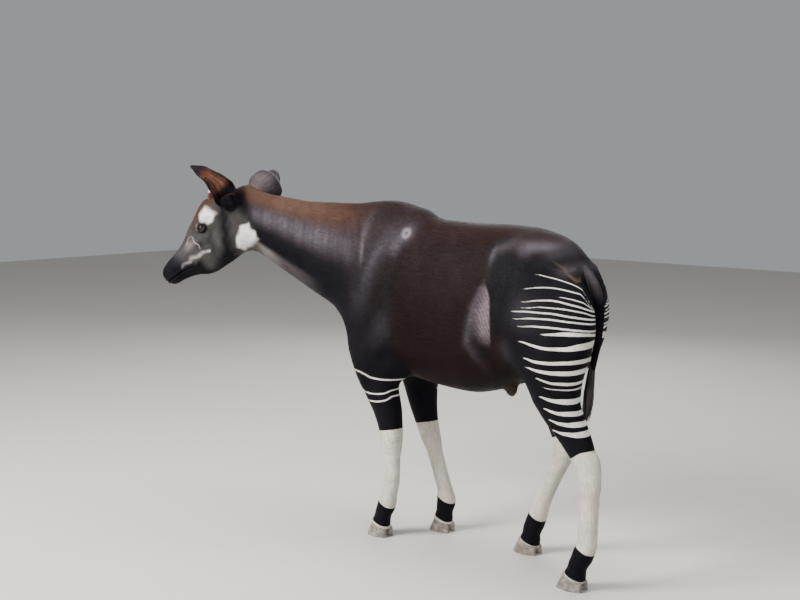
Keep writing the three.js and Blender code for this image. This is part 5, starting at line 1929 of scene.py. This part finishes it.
class Ossicone:
    """A short hair-covered horn that leans back to a bare tip."""

    ROOT = (118.0, 70.0, 34.0)
    TIP = (80.0, 108.0, 41.0)
    RINGS = 30
    SEGMENTS = 28

    def __init__(self, side: Side) -> None:
        self.side = side
        self.root = HEAD_FRAME.point(self.ROOT, side.value)
        self.tip = HEAD_FRAME.point(self.TIP, side.value)

    def build(self, coat: Material) -> Piece:
        """Builds the horn.

        Args:
            coat: The coat's material.

        Returns:
            The horn's object.
        """
        axis = unit(self.tip - self.root)
        first = unit(np.cross(axis, HEAD_FRAME.left))
        second = np.cross(axis, first)
        t = np.linspace(-0.25, 1.0, self.RINGS)
        turn = turns(self.SEGMENTS)
        tt, bb = (v.ravel() for v in np.meshgrid(t, turn, indexing="ij"))
        length = np.linalg.norm(self.tip - self.root)
        radius = 16.2 - 7.2 * np.clip(tt, 0, 1) - 0.8 * bell(tt, 0.78, 0.05)
        cap = np.clip((tt - 0.86) / 0.14, 0, 1)
        radius = radius * np.sqrt(np.maximum(1 - cap**2, 0.0004)) + 0.4 * np.sin(tt * 40) * (tt < 0.78)
        ring = np.cos(bb)[:, None] * first + np.sin(bb)[:, None] * second
        points = self.root + axis * (tt * length)[:, None] + ring * radius[:, None]
        faces = capped_faces(self.RINGS, self.SEGMENTS)
        piece = mesh_object(f"ossicone_skin_{self.side.word}", to_world(points), faces)
        tones = spread((0.06, 0.03, 0.022), len(tt))
        tones = tint(tones, (0.1, 0.055, 0.04), 0.5 + 0.5 * np.sin(bb * 5))
        tones = tint(tones, (0.46, 0.38, 0.32), smooth(tt, 0.72, 0.84))
        plain_dress(piece, tones, tones, axis)
        piece.data.materials.append(coat)
        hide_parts(f"ossicone_{self.side.word}")
        return piece


@dataclass(frozen=True)
class HoofShape:
    """The size of one toe's hoof."""

    half_length: float
    width: float
    shrink: float = 0.2
    back: float = 11.0
    cleft: float = 5.0


HOOF_SHAPES = {False: HoofShape(55, 42), True: HoofShape(60, 43)}


class Hoof:
    """One toe: a flat sole, a ringed wall and a top hidden under the coronet's hair."""

    LEVELS = (0, 0.6, 3, 7, 12, 17, 22, 27, 32, 37, 42, 47, 52, 57, 62, 67, 72, 77, 80)
    SEGMENTS = 48

    def __init__(self, limb: Limb, outer: bool) -> None:
        self.limb = limb
        self.outer = outer
        self.shape = HOOF_SHAPES[limb.hind]

    def _ring(self, z: float) -> Array:
        """The hoof's outline at one height."""
        shape = self.shape
        t = z / CORONET_HEIGHT
        turn = turns(self.SEGMENTS)
        forward = np.cos(turn)
        lateral = 0.5 + 0.5 * np.sin(turn) * np.where(forward > 0, 1 - 0.25 * forward**2, 1)
        reach = shape.cleft / 2 + np.where(forward > 0, 1.5 * forward, 0)
        reach = reach + lateral * shape.width * (1 - 0.1 * t)
        toe = self.limb.side.hand * (1 if self.outer else -1)
        x, y = self.limb.route.at(15)
        soften = 0.7 if z == 0 else 0.0
        growth = 0.45 * math.sin(z * 0.62) + 0.2 * math.sin(z * 1.7 + 1)
        inset = -soften + (growth if z > 2 else 0) - 0.6
        length = shape.half_length * (1 - shape.shrink * t) + inset
        middle = shape.cleft / 2 + shape.width / 2
        reach = middle + (reach - middle) * (1 + inset / shape.width)
        ring = np.empty((self.SEGMENTS, 3))
        ring[:, 0] = x[0] + shape.back * t - forward * length
        ring[:, 1] = y[0] * self.limb.side.hand + toe * reach
        ring[:, 2] = z
        return ring

    def build(self, horn: Material) -> Piece:
        """Builds the toe.

        Args:
            horn: The hoof's material.

        Returns:
            The toe's object.
        """
        rings = np.concatenate([self._ring(z) for z in self.LEVELS])
        faces = capped_faces(len(self.LEVELS), self.SEGMENTS)
        normal, at = self.limb.coronet()
        over = np.minimum((rings - at) @ normal + 3.0, 0.0)
        rings = rings - over[:, None] * normal
        rings[:, 2] = np.maximum(rings[:, 2], 0)
        name = f"hoof_{self.limb.name}_{'outer' if self.outer else 'inner'}"
        piece = mesh_object(f"{name}_horn", to_world(rings), faces)
        turn_outward(piece)
        piece.data.materials.append(horn)
        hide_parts(name)
        return piece


class TailTuft:
    """Long hair in flat overlapping locks at the end of the tail."""

    TOP = 880.0
    BOTTOM = 650.0
    SLANT = 0.1
    LOCKS = 380
    LOCK_TURN = 2.39996
    CORE_BLADES = 10
    UP = np.array([0.0, 0.0, 1.0])

    def facing(self, turn: float) -> Array:
        """The level way out at one turn round the tuft."""
        return np.array([math.cos(turn), math.sin(turn), 0.0])

    def hang(self, drop: Array) -> Array:
        """The tuft's middle at each share of its length."""
        drop = np.asarray(drop, float)
        length = self.TOP - self.BOTTOM
        x = TAIL[-1][0] + 4 - drop * length * self.SLANT
        return np.stack([x, np.full_like(drop, -10.0), self.TOP - drop * length], axis=-1)

    def build(self, hair: Material) -> Piece:
        """Builds the tuft.

        Args:
            hair: The hair's material.

        Returns:
            The tuft's object.
        """
        random = np.random.default_rng(TUFT_SEED)
        blades = []
        for i in range(self.LOCKS):
            turn = i * self.LOCK_TURN + random.random() * 0.5
            facing = self.facing(turn)
            start = -0.1 + 0.42 * random.random()
            drop = min(0.62 + 0.4 * random.random(), 1.0) if start < 0.2 else 0.75 + 0.25 * random.random()
            radius = 10.5 - 6 * max(start, 0)
            root = self.hang(start) + facing * radius
            tip = self.hang(drop) + facing * (2 + 13 * random.random())
            steps = np.linspace(0, 1, 8)
            bulge = (4 + 6 * random.random()) * np.sin(np.pi * steps)
            wave = 2.2 * np.sin(steps * 7 + random.random() * 6)
            across = unit(np.cross(facing, self.UP) + facing * (random.random() - 0.5) * 0.6)
            route = root + (tip - root) * steps[:, None] + facing * bulge[:, None] + across * wave[:, None]
            widths = (1.8 + 2.2 * random.random()) * np.array([0.6, 0.9, 1, 1, 0.9, 0.7, 0.4, 0])
            blades.append(ribbon(route, widths, across))
        core_steps = np.linspace(-0.1, 0.62, 12)
        for turn in turns(self.CORE_BLADES):
            facing = self.facing(turn)
            route = self.hang(core_steps) + facing * (9.5 - 8 * smooth(core_steps, 0.2, 0.62))[:, None]
            widths = np.append(np.full(11, 4.2) - 2.5 * smooth(core_steps[:-1], 0.2, 0.62), 0)
            blades.append(ribbon(route, widths, np.cross(facing, self.UP)))
        points, faces = joined(blades)
        piece = mesh_object("tuft_hair", to_world(points), faces)
        piece.data.materials.append(hair)
        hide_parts("tail_tuft")
        return piece


@dataclass(frozen=True)
class CoatRegion:
    """A part of the skin with its own patch of the coat's map."""

    name: str
    owns: Callable[[Array], Array]
    chart: Callable[[Array], Array]
    cell: tuple
    blades: int
    length: Callable[[Array], Array]
    width: float
    lift: float


def head_chart(p: Array) -> Array:
    """Head points unrolled round the head's length."""
    local = HEAD_FRAME.local(p)
    turn = share_of_turn(local[:, 2], local[:, 1] + 60)
    return np.stack([turn, (local[:, 0] + 80) / 680], axis=1)


def neck_chart(p: Array) -> Array:
    """Neck points unrolled round the neck's length."""
    along, side = FLESH.neck_place(p)
    high, low, _ = FLESH.neck.at(along)
    turn = share_of_turn(side, p[:, 2] - (high + low) / 2)
    return np.stack([turn, (along + 120) / 950], axis=1)


def trunk_chart(p: Array) -> Array:
    """Trunk points unrolled round the trunk's length."""
    turn = share_of_turn(p[:, 1], p[:, 2] - 1150)
    return np.stack([turn, (p[:, 0] + 720) / 1450], axis=1)


def leg_chart(p: Array) -> Array:
    """Leg points unrolled round each leg, the four side by side."""
    out = np.zeros((len(p), 2))
    which = leg_of(p)
    for i, limb in enumerate(FLESH.limbs):
        mine = which == i
        if mine.any():
            turn = limb.angle(p[mine]) / 360 + 0.5
            out[mine] = np.stack([(i + 0.02 + turn * 0.96) / 4, p[mine, 2] / 900], axis=1)
    return out


def leg_of(p: Array) -> Array:
    """The number of the nearest leg for each point."""
    apart = []
    for limb in FLESH.limbs:
        x, y = limb.centre(p[:, 2])
        apart.append(np.hypot(p[:, 0] - x, (p[:, 1] - y) * 1.2))
    return np.argmin(apart, axis=0)


def tail_chart(p: Array) -> Array:
    """Tail points unrolled down the tail."""
    turn = share_of_turn(p[:, 1] + 5, p[:, 0] - 640)
    return np.stack([turn, (p[:, 2] - 820) / 540], axis=1)


def body_length(p: Array) -> Array:
    """Length of the body's hair, longer on the belly and between the thighs."""
    return 6.0 + 6.0 * smooth(p[:, 2], 840, 740) * (p[:, 0] < 330)


def leg_length(p: Array) -> Array:
    """Length of the legs' hair, longer over the hooves."""
    return 5.0 + 3.0 * smooth(p[:, 2], 100, 60)


def head_length(p: Array) -> Array:
    """Length of the head's hair, shortest on the muzzle."""
    local = HEAD_FRAME.local(p)
    return 3.0 + 4.0 * smooth(local[:, 0], 360, 60)


def at_tail(p: Array) -> Array:
    """Whether points belong to the hanging tail."""
    return MARKINGS.on_tail(p) & (p[:, 2] < 1330)


def at_head(p: Array) -> Array:
    """Whether points belong to the head."""
    return MARKINGS.on_head(p) > 0.5


def at_neck(p: Array) -> Array:
    """Whether points belong to the neck."""
    return ~at_head(p) & (FLESH.neck_place(p)[0] > 60)


def at_legs(p: Array) -> Array:
    """Whether points belong to the legs."""
    return (p[:, 2] < 760) & (np.abs(p[:, 1]) > 40) & ~at_tail(p) & (p[:, 0] > -700)


def at_front(p: Array) -> Array:
    """Whether points belong to the trunk's front half."""
    return ~at_neck(p) & ~at_head(p) & ~at_legs(p) & ~at_tail(p) & (p[:, 0] < 0)


def at_rear(p: Array) -> Array:
    """Whether points belong to the trunk's rear half."""
    return ~at_neck(p) & ~at_legs(p) & ~at_tail(p) & (p[:, 0] >= 0)


REGIONS = (
    CoatRegion("head", at_head, head_chart, (0.0, 0.0, 0.33, 0.5), 60000, head_length, 0.42, 0.16),
    CoatRegion("neck", at_neck, neck_chart, (0.34, 0.0, 0.32, 0.5), 60000, body_length, 0.6, 0.17),
    CoatRegion("shoulder", at_front, trunk_chart, (0.0, 0.51, 0.66, 0.48), 64000, body_length, 0.65, 0.15),
    CoatRegion("haunch", at_rear, trunk_chart, (0.0, 0.51, 0.66, 0.48), 64000, body_length, 0.65, 0.15),
    CoatRegion("leg", at_legs, leg_chart, (0.67, 0.0, 0.32, 0.8), 64000, leg_length, 0.5, 0.15),
    CoatRegion("tail", at_tail, tail_chart, (0.67, 0.81, 0.15, 0.18), 9000, body_length, 0.55, 0.2),
)


class CoatHair:
    """Short flat tufts over the skin, which break its outline and soften the marks' edges."""

    PATCH = 0.003
    BATCH = 60000

    def __init__(self, skin: Piece, coat: Material) -> None:
        self.coat = coat
        mesh = skin.data
        mesh.calc_loop_triangles()
        triangles = np.zeros(len(mesh.loop_triangles) * 3, np.int32)
        mesh.loop_triangles.foreach_get("vertices", triangles)
        self.triangles = triangles.reshape(-1, 3)
        self.points = body_points(skin)
        a, b, c = (self.points[self.triangles[:, i]] for i in range(3))
        self.area = np.linalg.norm(np.cross(b - a, c - a), axis=1) / 2
        self.middle = (a + b + c) / 3
        self.normal = unit(np.cross(b - a, c - a))

    def _bare(self, p: Array) -> Array:
        """Whether points are where no tuft grows: in the eyes, the mouth or a nostril."""
        bare = np.zeros(len(p), bool)
        for side in Side:
            bare |= np.linalg.norm(p - EYE.open_centre(side), axis=1) < 21
        local = HEAD_FRAME.local(p)
        return bare | (local[:, 0] > 488)

    def build(self, region: CoatRegion, seed: int) -> Piece:
        """Builds the tufts of one region.

        Args:
            region: The part of the skin.
            seed: The random draw's seed.

        Returns:
            The tufts' object.
        """
        random = np.random.default_rng(seed)
        weight = self.area * region.owns(self.middle) * ~self._bare(self.middle)
        count = region.blades // 1
        chosen = random.choice(len(weight), count, p=weight / weight.sum())
        u, v = random.random(count), random.random(count)
        fold = u + v > 1
        u, v = np.where(fold, 1 - u, u), np.where(fold, 1 - v, v)
        a, b, c = (self.points[self.triangles[chosen, i]] for i in range(3))
        root = a + (b - a) * u[:, None] + (c - a) * v[:, None]
        normal = self.normal[chosen]
        way = coat_lie(root, normal)
        across = np.cross(normal, way)
        way = unit(way + across * (random.random(count) - 0.5)[:, None] * 0.7)
        across = unit(np.cross(normal, way))
        length = region.length(root) * (0.7 + 0.6 * random.random(count))
        lift = region.lift * (0.6 + 0.8 * random.random(count))
        points = np.empty((count, 5, 3))
        low = root - normal * 0.5
        half = region.width * (0.7 + 0.6 * random.random(count))
        middle = root + way * (length * 0.5)[:, None] + normal * (length * lift * 0.9)[:, None]
        tip = root + way * length[:, None] + normal * (length * lift * 0.75)[:, None]
        points[:, 0] = low - across * half[:, None]
        points[:, 1] = low + across * half[:, None]
        points[:, 2] = middle - across * (half * 0.8)[:, None]
        points[:, 3] = middle + across * (half * 0.8)[:, None]
        points[:, 4] = tip
        index = np.arange(count)[:, None] * 5
        faces = np.concatenate([index + (0, 1, 3), index + (0, 3, 2), index + (2, 3, 4)]).astype(np.int32)
        piece = mesh_object(f"coat_{region.name}", to_world(points.reshape(-1, 3)), faces)
        paint = MARKINGS.paint(root + way * (length * 0.5)[:, None], normal)
        shade = 0.72 + 0.5 * random.random(count)
        ragged = paint.edge + (random.random(count) - 0.5) * 1.2
        add_colour(piece, "hide", np.repeat(paint.hide * shade[:, None], 5, axis=0))
        add_colour(piece, "pale", np.repeat(paint.pale * np.minimum(shade + 0.1, 1.1)[:, None], 5, axis=0))
        add_number(piece, "edge", np.repeat(np.clip(ragged, -EDGE_LIMIT, EDGE_LIMIT), 5))
        add_vector(piece, "lie", np.repeat(way, 5, axis=0))
        self._map(piece, region, root)
        piece.data.materials.append(self.coat)
        return piece

    def _map(self, piece: Piece, region: CoatRegion, root: Array) -> None:
        """Gives each tuft its own small patch at its root's place on the unrolled skin."""
        x, y, wide, high = region.cell
        place = np.clip(region.chart(root), 0, 1) * (wide - self.PATCH, high - self.PATCH) + (x, y)
        corner = np.array([(0, 0), (1, 0), (0, 0.5), (1, 0.5), (0.5, 1)]) * self.PATCH
        each = (place[:, None, :] + corner[None]).reshape(-1, 2)
        loops = np.zeros(len(piece.data.loops), np.int32)
        piece.data.loops.foreach_get("vertex_index", loops)
        layer = piece.data.uv_layers.new(name="OFBake")
        layer.data.foreach_set("uv", each[loops].astype(np.float32).ravel())


class Studio:
    """The floor, the soft lights and the camera, whose framing is the photo's."""

    CAMERA = (3.13, -4.17, 1.73)
    YAW = math.radians(40.2)
    PITCH = math.radians(6.8)
    ROLL = math.radians(0.33)
    FOCAL = 1200.0
    WIDTH = 800.0
    SENSOR = 36.0

    def floor(self) -> Piece:
        """Lays the floor."""
        size = 14.0
        corners = [(-size, -size, 0), (size, -size, 0), (size, size, 0), (-size, size, 0)]
        mesh = bpy.data.meshes.new("floor")
        mesh.from_pydata(corners, [], [(0, 1, 2, 3)])
        floor = link("floor", mesh)
        mesh.materials.append(FloorFinish().material())
        return floor

    def light(self, name: str, at: tuple, size: float, power: float, tone: tuple) -> None:
        """Adds a soft square light that faces the animal."""
        data = bpy.data.lights.new(name, "AREA")
        data.size = size
        data.energy = power
        data.color = tone
        lamp = link(name, data)
        lamp.location = at
        aim = Vector((0.0, 0.15, 0.85)) - Vector(at)
        lamp.rotation_euler = aim.to_track_quat("-Z", "Y").to_euler()

    def lights(self) -> None:
        """Lights the animal evenly from above and both sides."""
        self.light("key", (-1.9, -4.6, 4.2), 2.2, 740, (1.0, 0.97, 0.93))
        self.light("fill", (4.8, -3.0, 2.6), 3.6, 130, (0.93, 0.96, 1.0))
        self.light("top", (0.4, 0.6, 5.2), 3.0, 230, (1.0, 0.99, 0.97))
        self.light("back", (-2.6, 4.6, 3.4), 3.4, 96, (0.96, 0.98, 1.0))
        world = bpy.data.worlds.new("studio")
        world.use_nodes = True
        background = world.node_tree.nodes["Background"]
        background.inputs["Color"].default_value = (0.78, 0.8, 0.84, 1)
        background.inputs["Strength"].default_value = 0.42
        bpy.context.scene.world = world

    def camera(self) -> Piece:
        """Sets the camera where the photo's stood."""
        forward = Vector(
            (
                -math.sin(self.YAW) * math.cos(self.PITCH),
                math.cos(self.YAW) * math.cos(self.PITCH),
                -math.sin(self.PITCH),
            )
        )
        right = Vector((math.cos(self.YAW), math.sin(self.YAW), 0))
        up = right.cross(forward)
        rolled_right = right * math.cos(self.ROLL) + up * math.sin(self.ROLL)
        rolled_up = up * math.cos(self.ROLL) - right * math.sin(self.ROLL)
        data = bpy.data.cameras.new("camera")
        data.sensor_width = self.SENSOR
        data.lens = self.FOCAL / self.WIDTH * self.SENSOR
        camera = link("camera", data)
        turn = Matrix((rolled_right, rolled_up, -forward)).transposed().to_4x4()
        camera.matrix_world = Matrix.Translation(Vector(self.CAMERA) + Vector(SHIFT)) @ turn
        bpy.context.scene.camera = camera
        return camera


def main() -> None:
    """Builds the animal and its studio."""
    logging.basicConfig(level=logging.INFO, format="%(relativeCreated)d %(message)s")
    coat = CoatFinish("short coat").material()
    lid = HornFinish("bare lid", (0.006, 0.005, 0.006), (0.02, 0.016, 0.016), 0.35, 500, (1, 1, 1), 0.0002)
    bare = lid.material()
    hair = HairFinish("dark hair", (0.006, 0.004, 0.0035), (0.035, 0.022, 0.018)).material()
    horn = HornFinish("hoof horn", (0.14, 0.12, 0.1), (0.32, 0.29, 0.25), 0.5).material()
    eye = EyeFinish().material()
    skin = Skin(coat).build()
    for index, pose in enumerate(EARS):
        cup = EarCup(pose)
        cup.build(coat)
        EarHair(cup, EAR_SEED + index).build(coat)
    for index, side in enumerate(Side):
        ball = EyeBall(side)
        ball.ball(eye)
        ball.rim(bare)
        ball.lashes(hair, LASH_SEED + index)
        Ossicone(side).build(coat)
    for limb in FLESH.limbs:
        for outer in (True, False):
            Hoof(limb, outer).build(horn)
    TailTuft().build(hair)
    LOG.info("ears, eyes, horns, hooves and tuft built")
    tufts = CoatHair(skin, coat)
    for index, region in enumerate(REGIONS):
        tufts.build(region, COAT_SEED + index)
        LOG.info("coat of the %s built", region.name)
    studio = Studio()
    studio.floor()
    studio.lights()
    studio.camera()


if __name__ == "__main__":
    main()
